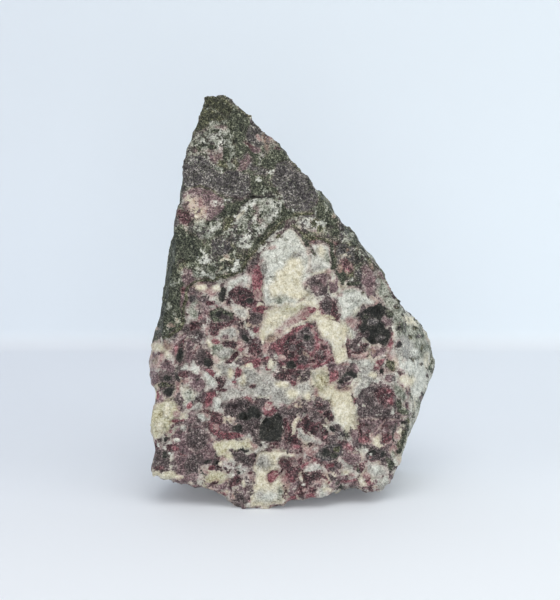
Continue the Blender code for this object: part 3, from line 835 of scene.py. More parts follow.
# %% Dark cluster and what lies round it
lay_shapes([
    ("black", [15.6, 43.6, 16.4, 44.4, 17.8, 45.8, 19, 46, 20, 46.6, 21.2, 46, 22, 45.6, 22.9, 44.8, 22.4,
        43.8, 21.2, 43.4, 20.6, 42.4, 21.4, 41.4, 22.6, 40, 23.3, 38.8, 22.6, 37.4, 21.4, 36.2, 20.2, 37,
        18.4, 36.6, 17.4, 37.6, 16.6, 39, 15.8, 40.6, 16.2, 42]),
    ("dusky", [13.1, 36.9, 13.6, 38.2, 14.4, 38.2, 15.4, 39.4, 16.6, 39, 16.4, 37.8, 17.6, 37.2, 17.9, 36,
        16.6, 36, 15.4, 35.2, 14, 35.5, 13.2, 36.1]),
    ("pink", [13.4, 34.9, 15.4, 34.6, 17, 35.2, 18.2, 35.6, 17.6, 34.4, 15.4, 33.8, 13.6, 34]),
    ("mauve", [18.2, 36.3, 19.6, 36, 21.8, 36.2, 21.8, 34.6, 20.4, 34.4, 19, 34, 18.4, 34.8]),
    ("crimson", [19.4, 33.4, 21.6, 33.8, 21.3, 32, 20.4, 30.9, 19.4, 31.3]),
    ("grey", [13.6, 33.8, 18, 34, 19.2, 33, 19.4, 30.5, 18.8, 28.2, 16, 27.8, 15.6, 31, 14.4, 32.8]),
    ("cream", [9.6, 37, 12.8, 38.4, 12.6, 35.4, 12.2, 32.6, 10.4, 31.8, 9.8, 33.6]),
])
lay_ovals([
    ("green", 17.4, 43.4, 0.9, 0.7, 0), ("mauve", 21.6, 42.6, 0.6, 0.4, 0),
    ("slate", 18.8, 42, 1.2, 0.9, 20), ("slate", 20.8, 38.4, 1.1, 0.8, 0),
    ("dusky", 17.2, 39.4, 0.8, 0.7, 0), ("green", 22.2, 44.6, 0.5, 0.6, 0),
    ("white", 15.9, 37.1, 0.3, 0.45, 0), ("maroon", 16.9, 36.7, 0.8, 0.5, 0),
    ("tan", 18.9, 35.3, 0.6, 0.5, 0), ("pink", 20.2, 31.9, 0.5, 0.5, 0), ("white", 17.4, 32.6, 1, 0.5, 20),
    ("cream", 19.1, 29.8, 1, 0.7, 0), ("white", 13.2, 32.9, 1.2, 0.5, 0),
    ("black", 21.1, 30.4, 0.45, 0.55, 0), ("mauve", 22.4, 28.9, 0.9, 0.8, 0),
    ("pink", 14.4, 41.2, 0.8, 0.5, 0),
])
print(len(grains) - 1, "grains and patches")

# %% [markdown]
# The right flank turns away from the view. It is pale, greenish and granular, with a few dark specks
# and a cream crystal, and a pale seam divides it from the dark cluster.

# %% Right flank
lay_shapes([
    ("pale", [22.6, 47.6, 25.4, 46, 28.6, 43, 31.2, 39.4, 32.6, 36, 31, 33.6, 27, 33, 24, 35, 23.4, 41]),
    ("grey", [23.6, 38.4, 27, 38.6, 28.8, 36.8, 28.6, 34.4, 26.8, 33, 24.4, 32.8, 23.4, 35]),
    ("green", [23.8, 41.6, 24.8, 42, 26, 41.8, 26.6, 40.6, 25.8, 39.6, 24.8, 40]),
    ("olive", [21.8, 33.4, 23.8, 32.8, 24.2, 31, 23, 30.2, 22, 31.4]),
    ("white", [24.6, 33.2, 27.4, 33.4, 30.6, 33.2, 32, 30.8, 31.4, 28, 30.6, 25.6, 29, 24, 27.2, 26.6, 28.6,
        29.8, 26, 30.4, 24.6, 30.8]),
    ("cream", [24.8, 29.7, 27.6, 30, 29.2, 28.8, 28.2, 27.2, 26, 26.9, 24.8, 28]),
    ("pale", [22.6, 28, 24.6, 27.6, 26.4, 26.4, 27.4, 24, 26, 23.4, 24.2, 24.6, 22.8, 26]),
    ("green", [23.8, 23.6, 25.2, 23.2, 27.4, 21.6, 27.2, 20.2, 25.6, 20.4, 24.4, 21.6]),
    ("olive", [25.4, 20.4, 27.4, 20.2, 27.6, 18.4, 26.6, 16, 25.6, 13.6, 24.6, 12, 24, 13.4, 24.8, 15.6, 26,
        17.4, 26.2, 18.8]),
    ("slate", [22.8, 11.8, 24.4, 11.8, 24.6, 9.6, 23.6, 7.2, 22.4, 6.8, 22.2, 9.4]),
])
lay_ovals([
    ("black", 24.9, 40.8, 0.6, 0.5, 0), ("black", 25.9, 43.4, 0.5, 0.35, 0),
    ("olive", 27.6, 38.8, 0.45, 0.7, 0), ("olive", 30.6, 36.2, 0.5, 1.1, 10),
    ("olive", 28.2, 33.7, 0.9, 0.35, 0), ("black", 30, 32.4, 0.7, 0.35, -10),
    ("green", 32.6, 32, 0.4, 2.4, 3), ("slate", 29.6, 38.6, 0.6, 0.5, 30), ("white", 28.9, 35.2, 1, 0.7, 0),
    ("cream", 27.6, 42.4, 1.6, 0.9, -40), ("olive", 24.6, 45.3, 0.8, 0.35, -30),
    ("grit", 26, 31, 0.9, 0.5, 0), ("white", 25.4, 33, 0.9, 0.9, 0), ("green", 22.8, 43.9, 0.8, 0.9, 0),
    ("olive", 28.8, 40.6, 0.6, 0.4, 0), ("slate", 25, 36.6, 0.7, 0.9, 20),
    ("dusky", 31.6, 29.6, 0.3, 0.9, 0), ("black", 30.7, 25.4, 0.3, 0.6, 0),
    ("grit", 27.8, 25.2, 0.5, 1.6, 10), ("slate", 23.4, 28.8, 0.6, 0.6, 0),
    ("pink", 23.6, 12.6, 0.7, 1.2, 20), ("white", 23.9, 9.9, 0.5, 1, 0),
])
lay_veins([
    ("white", 0.3, [(23.2, 41.2), (24, 39.2), (23.6, 36.9), (23.2, 34.6)]),
])

# %% [markdown]
# Below the cluster a white blade of feldspar points down. A dark spindle lies beside its top, and to
# its right a dusky fan with pink lobes spreads from a thin ridge.

# %% Blade, spindle and fan
lay_shapes([
    ("grey", [15.6, 28, 19, 28.4, 18.4, 27.4, 16.6, 26.4, 15.2, 24.8, 14.2, 24.8, 14.2, 26.6]),
    ("dusky", [14.7, 23.4, 15.3, 25, 16.6, 26.6, 18.4, 27.6, 20, 28, 22.5, 27.5, 24, 25.5, 24.4, 23, 24.2,
        21, 26.6, 20.6, 26.8, 19.6, 22, 20, 16, 19.8, 15.2, 21.4]),
    ("maroon", [18.6, 25.6, 20, 27.2, 22.6, 27, 24, 25, 23.4, 23, 21.6, 22.4, 20, 23.6]),
    ("mauve", [15.8, 19.6, 20, 19.8, 24, 19.8, 26, 19.2, 24.2, 17, 23.6, 14.4, 23, 13.6, 21, 14, 20.4, 15.4,
        19, 14.8, 17.8, 13.6, 16.4, 13.9, 15.6, 15.4, 14.4, 16.4, 14.8, 17.8]),
    ("maroon", [14.9, 17.6, 16.4, 18.9, 18.4, 18.4, 18.8, 16.4, 17.8, 14.2, 16.2, 14.2, 15.2, 15.8]),
    ("maroon", [20.6, 18.6, 22.4, 18.6, 23.4, 17.4, 23.2, 14.4, 21.8, 14, 20.8, 15.2, 20.4, 17]),
    ("dusky", [22.4, 18.8, 24.2, 18.6, 24.2, 16.4, 23, 16, 22.4, 17.2]),
    ("cream", [18.8, 15.4, 20.2, 16.2, 20.8, 14.4, 21.8, 13.4, 20.2, 13, 18.6, 13.7]),
    ("cream", [7.2, 31.5, 8.4, 31, 8.6, 29.5, 8.7, 28, 9.5, 27.6, 10.2, 26.8, 12, 26.4, 13.8, 26.5, 14.1,
        25, 14.5, 23, 14.9, 21.5, 15.5, 19.8, 15.8, 18.2, 15, 17, 14.1, 15.9, 13.2, 16.2, 12.2, 17, 11.2,
        18.3, 10.5, 19.5, 9.9, 21, 9.4, 22.2, 8.8, 23.5, 7.5, 24.6, 5.5, 25.5, 5, 27, 4.4, 28.5, 4.6, 30,
        5.6, 31.2]),
    ("crimson", [8.4, 29, 8.9, 30.5, 9.8, 30.9, 10.7, 30.7, 10.9, 29.8, 10.2, 28.9, 9.4, 28.1, 8.6, 28]),
    ("mauve", [10.4, 27.6, 12.3, 28.4, 14.2, 28.6, 13.6, 27.2, 12, 26.8]),
    ("black", [9.8, 28, 11, 29.2, 12.5, 30.6, 14, 31, 15.3, 29.6, 14.8, 28.8, 13.5, 28.7, 12.3, 28.2, 10.8,
        27.6]),
    ("maroon", [6.9, 20.6, 8, 21.8, 9.4, 21.3, 10, 20.2, 9.8, 19.4, 8.2, 19.5]),
    ("dusky", [4.6, 22.6, 5.6, 24.9, 6.8, 24.9, 8.2, 23.4, 8.8, 22.2, 7.5, 21.5, 5.8, 21.6]),
])
lay_ovals([
    ("pink", 12.5, 32.1, 1, 0.5, 10), ("mauve", 14.7, 31.4, 0.8, 1, -20), ("dusky", 12.8, 29, 1.2, 0.4, 10),
    ("tan", 12.4, 28, 0.7, 0.3, 0), ("pink", 5.8, 26.2, 0.7, 0.9, 20), ("grey", 5.6, 29.6, 0.8, 1, 0),
    ("grit", 15.1, 23.2, 0.5, 1, 10), ("white", 16.9, 22.6, 0.4, 0.3, 0), ("tan", 21.8, 24.7, 0.2, 0.4, 0),
    ("white", 23.4, 21.7, 0.5, 0.7, 0), ("pink", 17.6, 14.2, 1.5, 0.35, 15),
    ("pink", 18.8, 15.8, 0.4, 0.9, -25), ("pink", 22.8, 14.2, 1.3, 0.4, 15),
    ("grit", 18, 25.4, 1.3, 0.7, 30), ("grit", 20.6, 21, 2.2, 0.6, 0),
    ("crimson", 22.6, 25.8, 0.7, 0.5, -40), ("crimson", 23.2, 23.6, 0.5, 0.8, 0),
    ("mauve", 17, 17.2, 0.9, 0.8, 0), ("crimson", 16.6, 14.9, 1.4, 0.7, -15),
    ("crimson", 22.2, 14.9, 1.1, 0.7, 20), ("mauve", 21.6, 17.2, 0.8, 0.7, 0),
    ("crimson", 9.2, 20.6, 0.5, 0.4, 0), ("maroon", 6.4, 23.2, 1, 0.7, 0),
    ("cream", 25, 16.4, 0.5, 1.4, -15), ("pink", 24.6, 15.6, 0.7, 0.8, 0),
    ("pale", 25.4, 22.8, 0.8, 0.6, 0), ("green", 24.8, 23.4, 0.7, 0.8, 0),
])
lay_veins([
    ("tan", 0.13, [(9.8, 26.9), (11.4, 26.4), (13.8, 26.4)]),
    ("pink", 0.13, [(15.7, 19.5), (19, 19.9), (23, 19.9), (26, 20.1)]),
    ("dusky", 0.16, [(16.4, 16.9), (19.2, 18.8)]),
    ("dusky", 0.16, [(18.3, 15.9), (19.8, 18.4)]),
    ("pink", 0.13, [(19.6, 16.4), (20.4, 18), (21.6, 19.2)]),
    ("black", 0.25, [(23.9, 18.6), (23.6, 17), (23.4, 15.2), (24, 13.9)]),
    ("green", 0.6, [(26.2, 19), (27, 17.6), (26.4, 15.5), (25.2, 13), (24.6, 12.2)]),
    ("black", 0.35, [(25.2, 18.6), (26.4, 18.4)]),
])
print(len(grains) - 1, "grains and patches")

# %% [markdown]
# The left side: large maroon and black crystals set in white and grey, a pale crystal with a red arc
# in the middle, and crimson grains scattered over the bright ground to its right.

# %% Left side: large shapes
lay_shapes([
    ("cream", [-32.6, 37.4, -31, 38, -29.5, 37.2, -28.2, 35.6, -28.2, 33.6, -29.2, 34, -29.4, 35.2, -31, 35,
        -32.6, 35.6]),
    ("pink", [-33, 34.8, -30, 34.8, -29.2, 33.6, -29.6, 32.4, -31, 31.2, -33, 31.6]),
    ("mauve", [-29.8, 32.6, -28, 33.2, -26.6, 31.8, -27.2, 30.6, -29.4, 30.8, -30.4, 31.8]),
    ("mauve", [-33.2, 31.2, -30.6, 30.6, -30.2, 28, -32.6, 27.6]),
    ("dusky", [-30.4, 30, -28, 31, -26.9, 30.2, -26.8, 28.4, -28, 27.8, -29.5, 28.1, -30.4, 28.6]),
    ("olive", [-31, 27.8, -28, 28, -27, 27.4, -28.6, 26.8, -30.8, 27]),
    ("black", [-29.9, 26.2, -28.2, 27.2, -27, 27, -27.1, 25.2, -28.2, 24.5, -29.7, 25.2]),
    ("pink", [-27, 28.8, -25.6, 28, -25.2, 26, -26, 24.6, -27.2, 24.6, -26.6, 26.5]),
    ("straw", [-32.3, 22, -31, 23.2, -29.5, 24, -27.8, 23.8, -26, 22.4, -25, 20.8, -27.2, 20, -27.6, 18,
        -28.4, 16.4, -29.6, 16.2, -30.4, 15, -32.2, 15.2, -33, 17.5, -32.8, 20]),
    ("mauve", [-25.9, 38.4, -24.6, 40, -23.4, 40.2, -24.3, 38.3, -25.5, 37.7]),
    ("maroon", [-27.4, 34.5, -27.3, 36, -26.6, 37, -25.6, 38, -24.8, 37.4, -24.4, 36, -24.2, 34, -24.5,
        32.5, -25.6, 31.7, -26.7, 32.3, -27, 33.4]),
    ("mauve", [-24.3, 37.8, -23.2, 38, -22.3, 37, -22.2, 35, -22.5, 33, -23.5, 32, -24.4, 33, -24.1, 35.5]),
    ("dusky", [-24.2, 39.8, -23, 40.5, -21, 40.3, -20.1, 39.4, -20, 38, -21.5, 37.1, -23, 37.9, -24, 38.6]),
    ("maroon", [-23.6, 41.8, -22, 42.4, -20.8, 41.8, -20.4, 40.4, -22, 40.5, -23.4, 40.2]),
    ("pink", [-20, 40.8, -19.1, 40.9, -18.8, 39.5, -19.3, 38.6, -20.1, 39.2]),
    ("maroon", [-19, 43.9, -13, 44, -12.4, 42.6, -14, 41.3, -16, 40.4, -17, 39, -18.2, 38.7, -19, 39.6,
        -18.9, 41.5]),
    ("green", [-19, 45, -16, 45.4, -13.2, 44.4, -13.2, 42.8, -15, 42, -17.8, 42.2, -19, 43.2]),
    ("grey", [-17, 38.8, -16, 40.3, -14, 41.2, -12.4, 41.4, -12.3, 39.5, -12.6, 38.1, -14.5, 37.7, -16.4,
        37.7]),
    ("white", [-11, 43.2, -10.2, 41.5, -9.3, 40, -8.2, 38.5, -9.2, 37.6, -9.9, 39.3, -10.6, 40.9, -11.6,
        42.4]),
    ("dusky", [-12.4, 41.5, -11.6, 41.2, -10.5, 40.2, -9.9, 38.5, -9.1, 37.6, -10, 36.5, -11.2, 37, -11.8,
        38.4, -12.3, 40]),
    ("crimson", [-8.8, 41.2, -7.1, 41.2, -7.3, 39.5, -8.7, 39.5]),
    ("pale", [-19.4, 38, -18.4, 38.7, -17.2, 38.5, -16, 38, -14.6, 37.6, -12, 38.1, -11, 37, -11, 35.6,
        -12.2, 34.4, -14.2, 34, -15.6, 33.2, -17, 33.8, -18.2, 34.3, -18.6, 35.5, -19.6, 36.4]),
    ("maroon", [-16.6, 37.9, -15.5, 36.7, -14, 36.3, -12.5, 35.8, -12.6, 37.3, -14, 37.9]),
    ("dusky", [-22, 35.4, -21, 36.1, -20, 35.9, -18.9, 35, -18.2, 33.6, -18, 32, -18.6, 31.1, -19.5, 31.1,
        -20.8, 31.9, -21.8, 32.5, -22.1, 34]),
    ("maroon", [-19.8, 35.6, -18.8, 35, -18.1, 33.5, -17.9, 32, -18.6, 31.2, -19.2, 32.4, -19.4, 34]),
    ("white", [-23.4, 31.8, -22.6, 33.6, -21.9, 32.4, -21.1, 31.2, -21.5, 29.4, -22.6, 30.1, -24.2, 31.2]),
    ("crimson", [-20.4, 31.1, -18.4, 31.1, -17.3, 30, -17.6, 29, -18.4, 29, -19.2, 30.1]),
    ("maroon", [-26.2, 30.6, -24.8, 30.9, -23.5, 30.4, -23.6, 29.1, -25, 28.8, -26.2, 29.3]),
    ("maroon", [-14.4, 33.8, -13.8, 34.8, -12.3, 35.4, -11.8, 34.6, -13, 33.8, -13.5, 32.8, -14.2, 32.5,
        -15.5, 32.8, -15.3, 33.5]),
    ("dusky", [-13, 33.2, -12, 34.1, -11, 34.1, -10.7, 32.9, -11.6, 32, -12.9, 32.1]),
    ("crimson", [-13.2, 31.2, -12.3, 31.8, -11.3, 31.4, -11.3, 30, -12, 29.1, -12.9, 29.3, -13.3, 30.2]),
    ("maroon", [-9.9, 34.9, -10, 36.5, -8.8, 37, -7.2, 37.1, -6.7, 35.6, -7.6, 34.3, -9, 34.1]),
    ("crimson", [-9.2, 33, -7.9, 33.9, -6.8, 33.4, -7.2, 32.2, -8.4, 31.2, -9.1, 31.8]),
])

# %% [markdown]
# The ground between the left side and the blade is bright, with small crimson and maroon grains
# strewn over it.

# %% Bright ground between the left side and the blade
lay_shapes([
    ("grey", [-17.6, 33.2, -15.2, 32.6, -13.4, 31.6, -13.6, 29, -14.2, 27.2, -11, 26.4, -9, 27, -6, 29.2,
        -7.4, 30.6, -10.6, 31.6, -11, 30.6, -11.2, 29, -12.4, 27.6, -14.6, 27.4, -15.8, 29.5, -17, 31,
        -17.8, 32]),
    ("grey", [-11.2, 31.6, -10, 32.4, -7, 30.8, -4, 30.6, -3.9, 28.8, -1.2, 28.4, 0.6, 27, 2.2, 28.4, 4.6,
        28.6, 5.2, 25.8, 4.2, 23.8, 2.4, 24.6, 0.4, 23.6, -1.6, 23.2, -3.8, 23.2, -4.6, 24.6, -6.8, 24.8,
        -9, 24.6, -11, 26, -11.6, 28.6]),
    ("white", [-19.9, 29.6, -18.8, 29.6, -17.2, 28.8, -16.7, 27.4, -18, 26.9, -19.5, 27.3]),
    ("grey", [-16.2, 26.8, -13.5, 27, -11, 26.2, -10.4, 24.8, -13, 24.1, -16, 23.4, -16.4, 25]),
    ("mauve", [-22.6, 28.4, -20.8, 29.3, -19.8, 28.4, -19.7, 26.8, -21.4, 25.7, -22.7, 26.6]),
    ("crimson", [-19.4, 25.9, -17.6, 26.4, -17.1, 25, -17.9, 23.3, -19.3, 22.8, -19.7, 24]),
    ("pale", [-25, 26.2, -23.6, 27, -22.5, 26.2, -22.7, 24.2, -24, 23.4, -25, 24.4]),
    ("dusky", [-26.2, 25.8, -25.2, 26.4, -24.9, 24.5, -25, 22.4, -26, 23, -27.6, 24, -26.4, 24.6]),
    ("white", [-17.7, 24.5, -16.3, 24.7, -15.9, 23, -16.2, 21.4, -17.2, 21.3, -18, 22.6]),
    ("grey", [-24.6, 22, -21.8, 23.7, -20, 23.2, -20.4, 21.8, -22.4, 21.8, -23.6, 20.4]),
    ("white", [-21.8, 20.8, -20.2, 21.4, -18.7, 20.7, -18.6, 19.5, -20, 19.1, -21.6, 19.8]),
    ("maroon", [-18.5, 21.6, -17.2, 21.4, -15.9, 21.2, -16.3, 20, -17.2, 18.4, -18.7, 19.4]),
])
lay_ovals([
    ("tan", -28.4, 36.6, 1.3, 0.55, -60), ("black", -19.4, 32.6, 0.9, 1.2, 20),
    ("grit", -22, 38.8, 1.4, 0.8, 0), ("black", -11, 38.2, 0.6, 1.2, 30),
    ("maroon", -25.8, 34.8, 1.3, 2.4, 0), ("maroon", -30.6, 34.6, 1.4, 0.35, 0),
    ("tan", -31.6, 33.2, 0.6, 0.7, 0), ("crimson", -26.6, 35.6, 0.4, 1.4, 5),
    ("black", -25.6, 34.4, 0.9, 1.9, 0), ("pink", -21.6, 36.4, 0.7, 0.6, 0),
    ("crimson", -17.4, 37.8, 0.9, 0.6, -20), ("cream", -18.9, 37.2, 0.7, 0.9, 30),
    ("pink", -11.9, 36.9, 0.6, 0.9, 0), ("crimson", -11.4, 35.8, 0.6, 0.45, 0),
    ("grey", -15.4, 35.2, 1.8, 0.9, 10), ("mauve", -15.2, 38.6, 0.6, 0.4, 0),
    ("pink", -13, 41.2, 0.5, 0.35, 0), ("cream", -14.2, 30.2, 0.7, 1, 0), ("cream", -11, 28.8, 0.7, 1.2, 0),
    ("crimson", -12.9, 28.2, 0.9, 0.4, -10), ("maroon", -8.7, 27.2, 0.8, 0.45, 20),
    ("maroon", -15.4, 26.4, 1, 0.4, 0), ("pink", -24.2, 28.4, 0.8, 0.6, 0),
    ("black", -21.6, 28.7, 0.4, 0.25, 0), ("mauve", -20.2, 25, 0.6, 1, 0),
    ("crimson", -23.4, 22.8, 0.5, 1, 0), ("pink", -19.4, 20.5, 0.5, 0.5, 0),
    ("cream", -2.2, 27.5, 1.6, 0.8, 0), ("cream", 0.6, 25.6, 1.5, 0.9, 0), ("cream", 3.8, 24.9, 0.9, 1, 0),
    ("grit", -5.8, 28.2, 1, 0.4, -40), ("cream", -9.6, 32.2, 1, 0.7, 0), ("olive", -29.4, 28, 1, 0.25, 20),
    ("crimson", -31, 25.4, 0.5, 1.2, 20), ("pink", -17.2, 33.4, 0.4, 0.7, 0),
    ("cream", -6.6, 38.6, 0.6, 1.6, 0),
])
lay_veins([
    ("white", 0.25, [(-25.6, 31.2), (-24, 31.4), (-22.8, 30.6)]),
    ("white", 0.16, [(-22.6, 35.7), (-21.5, 36.9), (-20, 37.7)]),
    ("white", 0.16, [(-18.4, 35.4), (-17.8, 33.8), (-17.6, 32.4)]),
    ("crimson", 0.25, [(-24.9, 37.2), (-24.6, 38.2)]),
])
print(len(grains) - 1, "grains and patches")

# %% [markdown]
# The lower face is dusky and granular, with one black crystal, a cream band, and the cream foot that
# the stone leans on.

# %% Lower face: large shapes
lay_shapes([
    ("mauve", [-25.5, 18.5, -22, 18.4, -19, 17, -18, 15, -17.6, 12, -18, 9.6, -20, 9, -22, 5.5, -26, 4.6,
        -27.5, 6.6, -26.5, 9, -27, 12, -27.8, 15.5, -26.4, 17.6]),
    ("dusky", [-23.6, 18, -20.6, 17.4, -19, 16, -19.8, 13.4, -22, 12, -24, 13.6, -24.6, 16]),
    ("dusky", [-23.6, 11.4, -20.6, 12, -19.8, 10, -21.4, 7, -24.4, 6.6, -25, 9]),
    ("dusky", [-15.9, 22.2, -14, 24, -11, 24.4, -8.6, 23.4, -7, 22.3, -6.6, 20.5, -7, 18.4, -6.6, 16, -7,
        13.2, -8.6, 14.5, -9.5, 16.4, -12, 15.8, -13.6, 16.2, -14.2, 17.6, -12.6, 18.8, -13.2, 20, -15.5,
        20.6]),
    ("black", [-10.4, 22, -9, 22.8, -7.4, 22, -6.8, 20.6, -7.6, 19.6, -9.6, 20]),
    ("black", [-14, 17.6, -12.6, 18.6, -11.2, 18, -11.4, 16.8, -13, 16.5]),
    ("black", [-7, 18.6, -6.2, 20, -4.4, 20.5, -3.2, 21.2, -2.2, 20.2, -2, 18, -1.8, 16.4, -2.6, 14.6, -4.2,
        14, -6, 14.2, -7.2, 15.4, -7.4, 17]),
    ("crimson", [-18.9, 18.6, -17.8, 18.8, -16.2, 17.4, -14, 16.5, -11.4, 16.2, -10.8, 15.6, -13.2, 14.8,
        -15.2, 15, -17, 15.9, -18.4, 16.9]),
    ("crimson", [-6.8, 22.4, -5.4, 24.1, -4.1, 23.9, -4.2, 22.5, -3.2, 21.4, -5, 20.3, -6.5, 20.6]),
    ("straw", [-18.3, 13.8, -17.5, 15.1, -15.8, 15.1, -13, 14.6, -11, 13.6, -11.8, 12.5, -13.4, 12.8, -14.4,
        11.7, -15.6, 10.8, -17, 11.1, -17.9, 12.4]),
    ("mauve", [-19.7, 14.2, -18.4, 14.9, -17.9, 13.4, -17.6, 11.6, -18.6, 11, -19.6, 12]),
    ("dusky", [-13.7, 12.3, -11, 12.4, -9.6, 11, -8.7, 9.4, -9.6, 8.3, -11.4, 9.3, -13.1, 10.6]),
    ("maroon", [-28.6, 13.9, -26.6, 14, -25.9, 13, -27.2, 12, -28.6, 12.7]),
    ("dusky", [-31.4, 12.8, -29.4, 13.2, -27.6, 11.6, -27.8, 9.2, -29.4, 8.9, -31.4, 10]),
    ("cream", [-32.4, 7.9, -30, 7.3, -28, 7.8, -26.2, 7.1, -24.9, 6.4, -25.6, 5.6, -28, 5.7, -30.5, 6.4,
        -32.2, 7]),
    ("straw", [-20, 6.4, -18.4, 7.7, -16.4, 7.9, -14.7, 7.2, -14.6, 5.6, -16, 4.8, -17.6, 4.8, -19.6, 5]),
    ("maroon", [-14.7, 4.8, -13.8, 6.3, -12.6, 7.1, -11.5, 6.4, -11.6, 4.8, -12.8, 4.1, -14.3, 3.9]),
    ("dusky", [-13, 3, -11.4, 2.6, -10.6, 0.6, -12.2, 0, -13.8, 1.2]),
    ("grit", [-10.6, 8, -9.3, 7.7, -8.9, 5, -9, 3, -10.2, 1.4, -11, 3, -10.4, 5]),
    ("cream", [-9.2, 8.6, -8.4, 10, -7.4, 11.9, -6, 12.3, -3.8, 12.5, -1.2, 12.3, -1.1, 11, -2.4, 10.6,
        -3.2, 9.2, -2.8, 7.6, -2.2, 6, -1.2, 4.6, -0.5, 3.4, -0.7, 1.6, -1.6, 0.3, -4.6, -0.2, -7.6, -0.8,
        -9.8, -0.4, -9.8, 1.6, -9.2, 3.4, -8.6, 5.6, -8.9, 7.4]),
    ("grey", [-8.6, 9.8, -7.4, 11.4, -5.4, 11.4, -4.3, 10, -5, 8.3, -7.4, 7.9]),
    ("crimson", [-5.3, 7.2, -4.4, 8.3, -3.1, 7.9, -2.7, 6.6, -3.6, 5.1, -4.6, 4.5, -5.2, 5.6]),
])

# %% [markdown]
# The lower right has dusky crystals too, a pale one near the corner and a dark green group.

# %% Lower right: large shapes
lay_shapes([
    ("dusky", [-2, 22, 0, 22.6, 2, 22.4, 2.4, 21.2, 0.6, 20.6, -1.8, 20.8]),
    ("maroon", [-2.1, 19.6, -1.1, 20.2, -0.4, 18.4, -0.7, 16.4, -1.6, 16.2, -2.1, 17.8]),
    ("cream", [-0.1, 16, 0.1, 18.6, 1.2, 20.3, 2.3, 20.4, 1.4, 18.4, 0.8, 16.6]),
    ("maroon", [4.2, 22.4, 5.4, 21.9, 7.2, 20, 7.6, 18.6, 6.4, 16.5, 5, 15.8, 3.8, 17, 2.5, 18.4, 2.1, 19.2,
        3.4, 20.6]),
    ("dusky", [4.2, 21.8, 5.6, 21.4, 7.2, 19.6, 6.6, 18.6, 5.2, 19, 4, 20.2]),
    ("grey", [1.2, 17.4, 2.6, 17.9, 3.2, 16.4, 4.8, 15.5, 7.4, 14.7, 6.8, 13.8, 3, 14.2, 1.8, 15.4]),
    ("maroon", [6.9, 17.5, 8.4, 17.3, 8.3, 15.2, 7.2, 15, 6.7, 16]),
    ("black", [8.5, 18.3, 10.4, 18.3, 11.6, 17, 10.6, 16.6, 9.4, 17.1]),
    ("grit", [10, 16.9, 12, 16.2, 13.8, 16, 13.8, 14.4, 12, 13.7, 10, 14.2]),
    ("slate", [6.2, 12.4, 8, 13.9, 10, 14.1, 12, 13.5, 12.3, 11.6, 10.2, 10.1, 8.6, 9.7, 7, 10.2, 5.9, 11]),
    ("mauve", [12.2, 12.2, 13.6, 12, 15.6, 11.5, 16.3, 10.4, 15.4, 9.1, 13.4, 8.9, 12, 10.4]),
    ("maroon", [-2.2, 10.4, -0.4, 10.4, 1.4, 8.6, 1.8, 6.6, 0.6, 6.3, -1, 7.5, -2.6, 8.6]),
    ("pink", [2.4, 13.4, 6, 13.5, 6.4, 12.2, 4.6, 9.5, 2.8, 8.4, 2.4, 10.6]),
    ("dusky", [16.7, 12.7, 18.4, 13.6, 20, 13, 22.8, 13.3, 22.7, 11.4, 22.1, 9.3, 20.6, 10.3, 19, 10.3,
        17.2, 10.2]),
    ("green", [22, 10.8, 23.7, 9.6, 23.2, 7.4, 21.9, 8.6]),
    ("grey", [16.8, 9, 18, 9.9, 20.4, 10.1, 21.7, 8.8, 21.8, 7.2, 20.8, 6.3, 18.6, 6.2, 17.4, 6.8]),
    ("dusky", [7.4, 9.4, 9.6, 9.9, 11.6, 9.5, 11.7, 8.4, 9.8, 7.7, 8, 8.1]),
    ("dusky", [8.2, 7, 9.6, 7.3, 10.7, 5.8, 9.4, 5.5, 8.4, 6]),
    ("maroon", [2.4, 7.6, 5.6, 8.1, 7, 7, 6.2, 5.3, 3.4, 5.5, 2.5, 6.4]),
    ("grey", [11.5, 8.1, 14, 8.3, 15.6, 7.4, 15, 5.9, 13, 6.1]),
    ("cream", [6.9, 4, 9.7, 4.2, 9.5, 3.1, 7.4, 2.9]),
    ("maroon", [4.4, 4, 6.4, 3.5, 5.4, 2.6, 3.7, 2.7]),
    ("cream", [11.2, 18.6, 12.4, 20.4, 15.4, 20.4, 16, 18.6, 15.2, 17, 14.2, 15.6, 13, 16.2, 12, 17.2]),
])
print(len(grains) - 1, "grains and patches")

# %% [markdown]
# Many small grains and flecks finish the lower face, where no crystal is much larger than the others.

